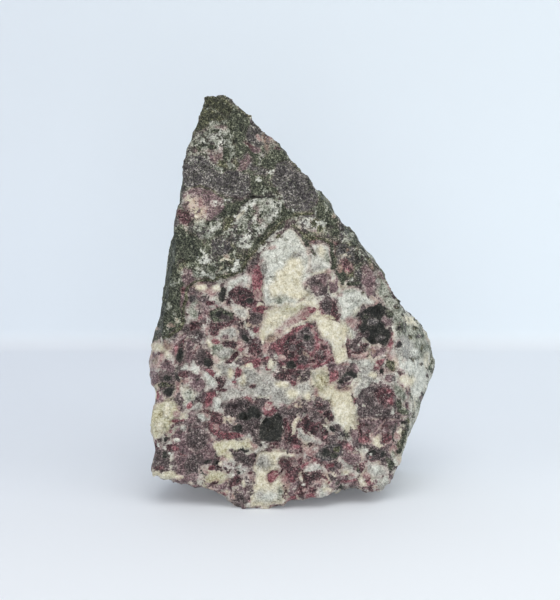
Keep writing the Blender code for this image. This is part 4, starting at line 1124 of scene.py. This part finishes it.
# %% Lower face: details
lay_ovals([
    ("cream", -28.6, 21.6, 0.7, 1.6, -15), ("cream", -30.4, 17.6, 0.7, 1.4, 20),
    ("straw", -16, 13.2, 1.6, 0.9, 0), ("straw", -10.2, 13.8, 1.8, 0.9, -10),
    ("straw", -14.6, 11.2, 1.3, 1, 0), ("grit", -14, 8.4, 1.9, 1.5, 0), ("grit", -8.8, 5.2, 1.1, 3, 0),
    ("grit", -1.2, 2.4, 0.9, 2.4, 10), ("dusky", 11.2, 17.5, 1.3, 0.6, -50),
    ("slate", 11.7, 16.2, 1.2, 0.5, -35), ("black", -10.8, 20.4, 1.6, 1.2, 0),
    ("straw", 6.8, 28.4, 1.6, 2, 0), ("dusky", -15.2, 43, 1.2, 0.6, 0), ("black", -16.4, 43.9, 1, 0.6, 0),
    ("crimson", -26.9, 19.3, 1.1, 0.45, 0), ("pink", -26.3, 20.8, 0.8, 0.6, 0),
    ("crimson", -25, 19.4, 0.6, 0.35, 0), ("white", -26.3, 14.6, 1, 0.6, 0),
    ("grey", -24.8, 17.8, 0.9, 0.8, 0), ("black", -28.9, 15, 0.5, 0.8, 0), ("maroon", -31, 14.2, 1, 0.6, 0),
    ("white", -30.6, 13.9, 0.4, 0.3, 0), ("black", -28.9, 11.4, 0.7, 1, 0),
    ("maroon", -30.6, 8.3, 1.3, 0.4, -5), ("crimson", -26.4, 12.8, 0.9, 0.35, -20),
    ("pink", -18.8, 14.6, 0.8, 0.3, 45), ("pink", -17.4, 17.8, 0.9, 0.4, -35),
    ("pink", -5.4, 22.4, 0.8, 1, 0), ("cream", -10, 14.8, 0.8, 0.5, 0), ("grit", -14.8, 19.6, 1.1, 0.9, 0),
    ("white", -14.2, 20.2, 0.4, 0.35, 0), ("mauve", -9, 11, 1, 0.6, -40), ("pink", -8.4, 13.8, 0.7, 0.5, 0),
    ("white", -12.1, 9, 0.9, 0.5, 0), ("black", -12.1, 7.6, 0.8, 0.45, 0),
    ("black", -19.2, 10, 0.9, 0.45, 20), ("crimson", -18.2, 8.5, 0.9, 0.7, 30),
    ("pink", -19.8, 7.4, 0.7, 0.5, 0), ("cream", -16.5, 9.4, 0.5, 0.7, 0),
    ("pink", -15.5, 10.4, 1, 0.4, -15), ("white", -13.8, 7.5, 0.5, 0.8, 0),
    ("maroon", -17.3, 5.4, 0.9, 0.35, 10), ("cream", -11.1, 4.8, 0.45, 1.1, 10),
    ("mauve", -17.8, 3.8, 1.7, 0.3, -10), ("pink", -17.4, 3.6, 0.9, 0.2, -5),
    ("crimson", -19.2, 3.4, 0.8, 0.25, -20), ("crimson", -15.4, 2.6, 1.2, 0.3, -25),
    ("cream", -14.6, 3, 0.5, 0.4, 0), ("pink", -13.2, 1.5, 0.4, 0.6, 0), ("maroon", -9.4, 7.4, 0.5, 0.5, 0),
    ("white", -5.6, 1.8, 3, 1.2, 0), ("grey", -7.8, 2.4, 1, 0.7, 0), ("pale", -2.4, 2.6, 0.8, 1.4, 0),
    ("crimson", -4.2, 5.6, 0.5, 0.7, 0), ("pink", -3.6, 7.2, 0.4, 0.4, 0), ("grit", -3.6, 13.2, 2, 0.4, 5),
    ("mauve", -5.2, 12.8, 1.4, 0.3, 5), ("crimson", -1, 17.8, 0.35, 1, 0), ("olive", -0.4, 18, 0.3, 0.6, 0),
    ("grit", 2.6, 23.2, 1.7, 0.6, 10), ("olive", 2.4, 19.6, 0.3, 0.5, 0), ("pink", 9.2, 16.4, 0.6, 0.4, 0),
    ("crimson", 7.8, 15.6, 0.4, 0.4, 0), ("grit", 8, 18.9, 1, 0.5, 0), ("mauve", 14.4, 15.8, 0.8, 1.4, 0),
    ("dusky", 14.8, 13.9, 1, 1, 0), ("olive", 10.6, 12.6, 1, 0.7, 0), ("black", 8, 12, 1.2, 1, 10),
    ("green", 9.8, 11.2, 1.1, 0.7, 0), ("black", 18.4, 12, 1.1, 0.6, 10),
    ("black", 21.4, 11.6, 0.7, 0.9, 0), ("black", -28.6, 29.2, 0.9, 0.7, 20),
    ("white", 16.9, 12.6, 0.7, 0.6, 0), ("crimson", 1.2, 13.4, 0.9, 0.6, 0),
    ("cream", -0.4, 11.4, 1.4, 0.4, -25), ("white", 2.9, 11.2, 0.4, 0.7, 0),
    ("crimson", 5.2, 10.5, 0.9, 0.5, 0), ("white", 5.8, 13, 0.7, 0.4, 0), ("mauve", 3.6, 10.4, 0.5, 0.7, 0),
    ("pale", 23.4, 11.7, 0.8, 0.9, 0), ("white", 24.2, 9.8, 0.4, 0.6, 0), ("pink", 17.1, 6.4, 0.8, 0.7, 0),
    ("grit", 19.3, 5.7, 1.4, 0.5, 0), ("white", 21.6, 5.9, 0.6, 1.1, -25), ("green", 15.6, 8, 0.4, 0.8, 0),
    ("cream", 12.5, 7.3, 0.8, 0.5, 0), ("pink", 13.8, 6.8, 0.8, 0.4, 0),
    ("crimson", 7.8, 5.9, 1.5, 0.25, -38), ("cream", 4.4, 6.9, 0.4, 0.35, 0),
    ("white", 2.4, 6.9, 0.4, 0.35, 0), ("white", 2.7, 4.6, 0.6, 0.4, 0), ("mauve", 0.6, 4.9, 1.1, 0.8, 0),
    ("pink", 3.3, 3.4, 0.7, 0.5, 0), ("mauve", 0, 2.6, 0.8, 0.7, 0), ("maroon", 1.8, 2.6, 0.8, 0.4, 0),
    ("crimson", 3, 9.2, 1.1, 0.4, 30), ("crimson", 8.8, 8.8, 1.2, 0.5, 0),
    ("crimson", 12.8, 5.2, 1.3, 0.5, 0), ("grit", 10.4, 6.8, 1.8, 0.7, 0), ("grit", 14.6, 9.2, 1.4, 0.7, 0),
    ("grit", 5.6, 9.6, 1.2, 0.6, 0), ("grit", 0.4, 8.8, 0.9, 0.7, 30), ("crimson", 0.2, 5.9, 0.8, 0.5, 0),
    ("tan", 19.8, 3.9, 0.7, 0.25, 0), ("crimson", 18.2, 11.2, 0.3, 0.3, 0), ("white", 19.6, 8.4, 1, 0.9, 0),
    ("white", 18.4, 11.7, 0.3, 0.3, 0),
])
lay_veins([
    ("mauve", 0.2, [(10, 4.3), (12.6, 4.8), (15, 4.7), (17.4, 3.6)]),
    ("crimson", 0.16, [(-25.8, 11.8), (-24.4, 11.2)]),
    ("pink", 0.14, [(4.2, 12.2), (4.8, 10.8), (4.4, 9.6)]),
    ("white", 0.14, [(5.6, 4), (6.8, 3.6), (8, 3.1)]),
])
print(len(grains) - 1, "grains and patches")

# %% [markdown]
# ## Relief of the crystals
# When the stone broke, each crystal parted at its own height and tilt, feldspar standing a little
# proud and eudialyte a little low, with a fine groove where two crystals meet. The rind stands over
# the broken face like a lip. Each point is moved along its own normal by that much, with a fine
# unevenness over everything. The foot's pads stay flat on the ground.

# %% Relief
STAND = {  # mm that a mineral stands proud, or lies low
    "white": 0.12, "cream": 0.16, "pale": 0.06, "grey": 0.04, "pink": 0.04, "tan": 0.1,
    "mauve": -0.05, "crimson": -0.14, "maroon": -0.14, "black": -0.12, "olive": 0.10,
}
CRYSTAL_STEP = 0.24  # mm: spread of the crystals' own heights
CRYSTAL_TILT = 0.1  # spread of their slopes
GROOVE = 0.14
RIND_LIP = 0.35
SIDE_WORN = 0.4  # the sides are worn smoother, and back by this much
UNEVEN = [(4.5, 0.35), (1.9, 0.17), (0.9, 0.09)]  # mm: size and height of the unevenness
GROOVE_HALF = 0.45  # mm from the edge of a crystal to where its groove ends
STEP_MOST = 0.35
TILT_MOST = 0.3
MOST = 0.9
NOSE = ((34.6, 7.6, 35.5), 2.6, 1.3)  # a sharp corner on the right: where, how wide, how far it is worn

middles = np.array([tuple(middle) for middle in grains])
heights = random.normal(0, CRYSTAL_STEP, len(grains))
slopes = random.normal(0, CRYSTAL_TILT, (len(grains), 3))
dark_side = darkness > 0
pale_seen, dark_seen = fields[:, :PALES].argmax(axis=1), fields[:, PALES:].argmax(axis=1)
seen = np.where(dark_side, PALES + dark_seen, pale_seen)
inner = np.clip(rim / GROOVE_HALF, 0, 1)
stand = np.array([STAND.get(name, 0.0) for name in MINERALS])[seen]
tilted = ((ragged - middles[owner]) * slopes[owner]).sum(axis=1).clip(-TILT_MOST, TILT_MOST)
own_height = np.where(owner > 0, heights[owner].clip(-STEP_MOST, STEP_MOST) + tilted, 0)
lift = inner * (stand + own_height) - GROOVE * (1 - inner)
lift += RIND_LIP * np.clip(rind / 0.8, 0, 1) * front
noise.seed_set(8)
for size, height in UNEVEN:
    lift += [noise.noise(Vector(place) / size) * height for place in places]
side = np.clip((np.abs(facing[:, 0]) - 0.25) / 0.4, 0, 1)
lift = np.clip(lift, -MOST, MOST) * (1 - 0.6 * side) - SIDE_WORN * side
worn = NOSE[2] * np.clip(1 - np.linalg.norm(places - NOSE[0], axis=1) / NOSE[1], 0, 1)

moved = world_places + world_facing * lift[:, None] * MM
moved[:, 0] -= worn * MM
moved[:, 2] = np.maximum(moved[:, 2], 0)
stone.data.vertices.foreach_set("co", moved.astype(np.float32).ravel())
stone.data.update()
bpy.ops.object.shade_smooth_by_angle(angle=math.radians(40))
print("relief from", round(float(lift.min()), 2), "to", round(float(lift.max()), 2), "mm")


# %% [markdown]
# The fields are stored on the mesh as attributes, which the shader reads point by point. In the rind
# and on the flank the darkness is held near zero first, so that both sheets mingle there.

# %% Fields for the shader
clean = fields[:, MINERALS.index("pink")] > 0
darkness = np.where((rind > 0) & ~clean, np.clip(darkness, -0.15, 0.6), darkness)  
darkness = np.where(flank > 0.5, np.clip(darkness, -0.5, 0.8), darkness)  


def store(name, values):
    attribute = stone.data.attributes.new(name, "FLOAT", "POINT")
    attribute.data.foreach_set("value", values.astype(np.float32))


for column, mineral in enumerate(MINERALS):
    store(mineral, fields[:, column])
store("darkness", darkness)
store("rim", rim)
store("rind", rind)
store("crystal_tone", random.uniform(-1, 1, len(grains))[owner])
print("stored", len(MINERALS) + 4, "fields")

# %% [markdown]
# ## Colours of the minerals
# Each mineral has five tones. The inner three vary from grain to grain inside it, and the outermost
# two are its dark specks and its bright glints, which are partly pale crumbs and partly painted
# highlights, where tiny faces would catch the light. One shared number, the tone, picks among the five,
# so every mineral needs only one colour ramp.

# %% Palette
# the glint tone is partly pale crumbs and partly a painted highlight
TONES = {  # dark speck, dark, middle, light, glint, and how rough it is
    "grey": ((92, 87, 84), (144, 142, 136), (172, 170, 163), (196, 194, 187), (222, 220, 212), 0.4),
    "pale": ((66, 69, 60), (108, 112, 100), (142, 146, 133), (178, 180, 168), (212, 212, 202), 0.65),
    "white": ((138, 136, 129), (185, 187, 178), (208, 210, 201), (227, 228, 219), (243, 243, 237), 0.5),
    "cream": ((176, 166, 140), (207, 200, 174), (222, 216, 193), (233, 228, 209), (243, 240, 228), 0.5),
    "straw": ((122, 112, 84), (176, 170, 138), (198, 193, 164), (214, 210, 186), (232, 229, 210), 0.5),
    "pink": ((106, 78, 80), (144, 110, 110), (168, 137, 134), (192, 166, 159), (218, 200, 192), 0.5),
    "tan": ((74, 60, 52), (112, 93, 82), (140, 118, 105), (168, 148, 132), (200, 186, 168), 0.6),
    "dusky": ((34, 28, 29), (61, 52, 53), (92, 79, 80), (120, 105, 106), (192, 180, 174), 0.5),
    "slate": ((34, 32, 33), (57, 54, 55), (84, 80, 81), (114, 109, 109), (190, 186, 178), 0.6),
    "green": ((24, 27, 23), (44, 48, 40), (68, 73, 60), (100, 105, 87), (172, 175, 154), 0.6),
    "olive": ((28, 30, 22), (48, 50, 37), (74, 76, 56), (108, 109, 83), (172, 170, 142), 0.6),
    "mauve": ((60, 47, 50), (92, 72, 76), (124, 100, 104), (154, 132, 133), (204, 188, 184), 0.4),
    "maroon": ((25, 18, 20), (47, 30, 34), (78, 47, 52), (112, 76, 81), (172, 144, 142), 0.4),
    "crimson": ((50, 32, 36), (98, 56, 63), (137, 82, 89), (166, 111, 117), (206, 164, 166), 0.35),
    "black": ((12, 14, 13), (23, 25, 22), (36, 38, 34), (52, 53, 49), (112, 110, 102), 0.4),
}
print(len(TONES), "palettes")

# %% [markdown]
# The tone comes from soft clouds, from small flat cells like cleaved faces, from each crystal's own
# tone, and from fine specks that push it to either end of the ramp: dark specks, and bright ones that
# are partly pale crumbs and partly painted glints.

# %% Tone
rock, rock_shader, rock_place = new_material("eudialyte_syenite")


def clouds(size, seed, detail=2.0):
    """Soft noise from 0 to 1 whose lumps are as large as size, in mm."""
    shifted = rock_place.add(
        "VectorMath", {"operation": "ADD"}, {0: rock_place, 1: (seed * 0.37, seed * 0.11, seed * 0.23)}
    )
    return rock_place.add("TexNoise", (), {"Vector": shifted, "Scale": 1 / (size * MM), "Detail": detail})


def threads(size, seed, width):
    """Thin curling lines, 1 on the line and 0 beside it."""
    line = clouds(size, seed, 1.0) - 0.5
    return line.math("ABSOLUTE", line).between(width, 0)


def stored(name):
    """A field that was stored on the mesh."""
    return rock_place.add("Attribute", {"attribute_name": name}, out=2)


def facets(size, seed):
    """Broken faces about as large as size, in mm: a tone for each, and the height of its tilted plane."""
    scale = {"Scale": 1 / (size * MM)}
    swirl = rock_place.add("TexNoise", (), {"Vector": rock_place, "Detail": 1.0, **scale}, out=1)
    shift = {0: swirl, 1: (0.7 * size * MM,) * 3, 2: rock_place}
    bent = swirl.add("VectorMath", {"operation": "MULTIPLY_ADD"}, shift)
    bent = bent.add("VectorMath", {"operation": "ADD"}, {0: bent, 1: (seed, seed, seed)})
    colour = bent.add("TexVoronoi", (), {"Vector": bent, **scale}, out=1)
    middle = Wire(colour.socket.node.outputs["Position"])
    arm = bent.add("VectorMath", {"operation": "SUBTRACT"}, {0: bent, 1: middle})
    tilt = colour.add("VectorMath", {"operation": "SUBTRACT"}, {0: colour, 1: (0.5, 0.5, 0.5)})
    height = arm.add("VectorMath", {"operation": "DOT_PRODUCT"}, {0: arm, 1: tilt}, out=1)
    return colour.add("SeparateColor", (), {"Color": colour}) - 0.5, height * (1 / (size * MM))


large_tone, large_height = facets(1.2, 0.3)
small_tone, small_height = facets(0.5, 0.7)
darkness_here = stored("darkness")
soft = clouds(1.5, 1)
fine = clouds(0.35, 13)
specks = clouds(0.45, 2, 1.0)
strewn = specks + (clouds(2.6, 14) - 0.5) * 0.3
# painted glints, partly pale crumbs: bright specks that stand in for light caught by tiny faces
painted_glints_and_crumbs = strewn.between(0.60, 0.68)
dim = specks.between(0.40, 0.30)
body = stored("rind").between(0.3, -0.3)
busy = body.blend(1.9, 1.5)
tone = 0.5 + (soft - 0.5) * 0.8 + (fine - 0.5) * busy + large_tone * 0.2 + small_tone * 0.2
tone = tone + stored("crystal_tone") * 0.08

# %% [markdown]
# ## The pale sheet and the dark sheet
# On each sheet a mineral shows where its field is above zero, and fades softly into its neighbour, as
# clear crystals do. Dark crystals are deepest in their hearts and redder and lighter at their thin
# edges.

# %% One colour and roughness for each sheet
TONE_STOPS = (0.0, 0.3, 0.5, 0.7, 1.0)
FADE = {"pale sheet": 1.5, "dark sheet": 0.6}  # mm over which one mineral fades into the next
edge_noise = (clouds(1.0, 3) - 0.5) * 1.6 + (clouds(0.4, 4, 1.0) - 0.5) * 1.2 + large_tone * 0.3
mottle = (clouds(2.4, 15) - 0.5) * body.blend(1.3, 0.0)
rim_here = stored("rim") - edge_noise * 0.35
# the seams between crystals: pale dust on the dark sheet, painted shade on the pale sheet
seam = rim_here.between(0.3, 0.05) * clouds(2.5, 12).between(0.36, 0.6) * body
depth_here = darkness_here - edge_noise * body.blend(1.3, 1.0) - seam * 0.2 + mottle
heart = rim_here.between(0.2, 1.1)
thin = depth_here.between(0.5, -0.1)
tones = {
    "pale sheet": tone + painted_glints_and_crumbs * 0.2 - dim * 0.16,
    "dark sheet": tone - heart * 0.14 + thin * 0.1 + painted_glints_and_crumbs * 0.28 - dim * 0.2,
}


def ramp(mineral, tone_here):
    """A mineral's colour where the tone is tone_here, and its roughness."""
    *colours, roughness = TONES[mineral]
    stops = [(place, srgb(*colour)) for place, colour in zip(TONE_STOPS, colours)]
    return tone_here.add("ValToRGB", {"stops": stops}, {"Fac": tone_here}), roughness


def look_of(sheet):
    """The colour and roughness of a whole sheet, one mineral after the other."""
    base, *others = SHEETS[sheet]
    colour, rough = ramp(base, tones[sheet])
    for mineral in others:
        own_colour, roughness = ramp(mineral, tones[sheet])
        mask = (stored(mineral) + edge_noise * 0.8).between(-FADE[sheet], FADE[sheet])
        colour = mask.mix(colour, own_colour)
        rough = mask.blend(rough, roughness)
    return colour, rough


pale_colour, pale_rough = look_of("pale sheet")
dark_colour, dark_rough = look_of("dark sheet")

# %% [markdown]
# Three things tie the sheets together. Pale crystals are painted pink beside a red one, as the light
# that comes through it would tint them. Fine brown crack lines run through the pale parts, with painted
# shade along the seams between crystals, and crushed white dust lies in flecks and threads over the
# dark parts.

# %% Painted red light, crack lines with painted shade, and dust
near_dark = darkness_here.between(-1.4, 0.1)
reddish = stored("crimson").math("MAXIMUM", stored("crimson"), stored("maroon"))
reddish = reddish.math("MAXIMUM", reddish, stored("mauve")).between(-1.2, 0.4)
# painted red light: pale crystals tinted pink beside red ones, for light coming through them
painted_red_light = near_dark * reddish * clouds(1.8, 7).between(0.3, 0.7)
pale_colour = (painted_red_light * 0.5).mix(pale_colour, srgb(168, 118, 120))
# brown crack lines, with painted shade along the seams between crystals
cracks_and_painted_shade = threads(4.5, 8, 0.012) * clouds(3.0, 9).between(0.42, 0.62)
cracks_and_painted_shade = cracks_and_painted_shade.math("MAXIMUM", cracks_and_painted_shade, seam * 0.7)
pale_colour = (cracks_and_painted_shade * 0.5).mix(pale_colour, srgb(120, 110, 98))

flecks = clouds(0.28, 10, 1.0).between(0.59, 0.67) * clouds(2.6, 11).between(0.36, 0.6)
dust = flecks.math("MAXIMUM", flecks, threads(1.3, 10, 0.02) * body.blend(0.7, 0.3))
dust = dust.math("MAXIMUM", dust, seam * 0.6) * (1 - stored("black").between(-0.2, 0.5) * 0.7)
dust_colour = body.mix(srgb(150, 152, 130), srgb(200, 192, 184))
dark_colour = (dust * body.blend(0.5, 0.42)).mix(dark_colour, dust_colour)

crisp = depth_here * body.blend(1.8, 1.3)
mask = crisp.between(-0.3, 0.25)
colour = mask.mix(pale_colour, dark_colour)
rough = mask.blend(pale_rough, dark_rough) + (clouds(0.6, 5) - 0.5) * 0.5
print("rock shader has", len(rock.node_tree.nodes), "nodes")

# %% [markdown]
# Last comes the fine grain of the broken surface: small lumps, tilted cleaved faces and a dip at each
# crystal's rim. It is too fine for the mesh, so a bump carries it.

# %% Fine grain
BUMP_HEIGHT = 0.3 * MM

grain = clouds(0.6, 6) * 0.5 + large_height * 3.0 + small_height * 1.0 + rim_here.between(0.0, 0.3) * 0.4
bump = grain.add("Bump", (), {"Strength": 1.0, "Distance": BUMP_HEIGHT, "Height": grain})
for wire, socket in ((colour, "Base Color"), (rough, "Roughness"), (bump, "Normal")):
    rock.node_tree.links.new(wire.socket, rock_shader.inputs[socket])
rock_shader.inputs["Specular IOR Level"].default_value = 0.3

stone.data.materials.clear()
stone.data.materials.append(rock)
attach(stone, "root")
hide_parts("rough_eudialyte")
print("stone dressed")
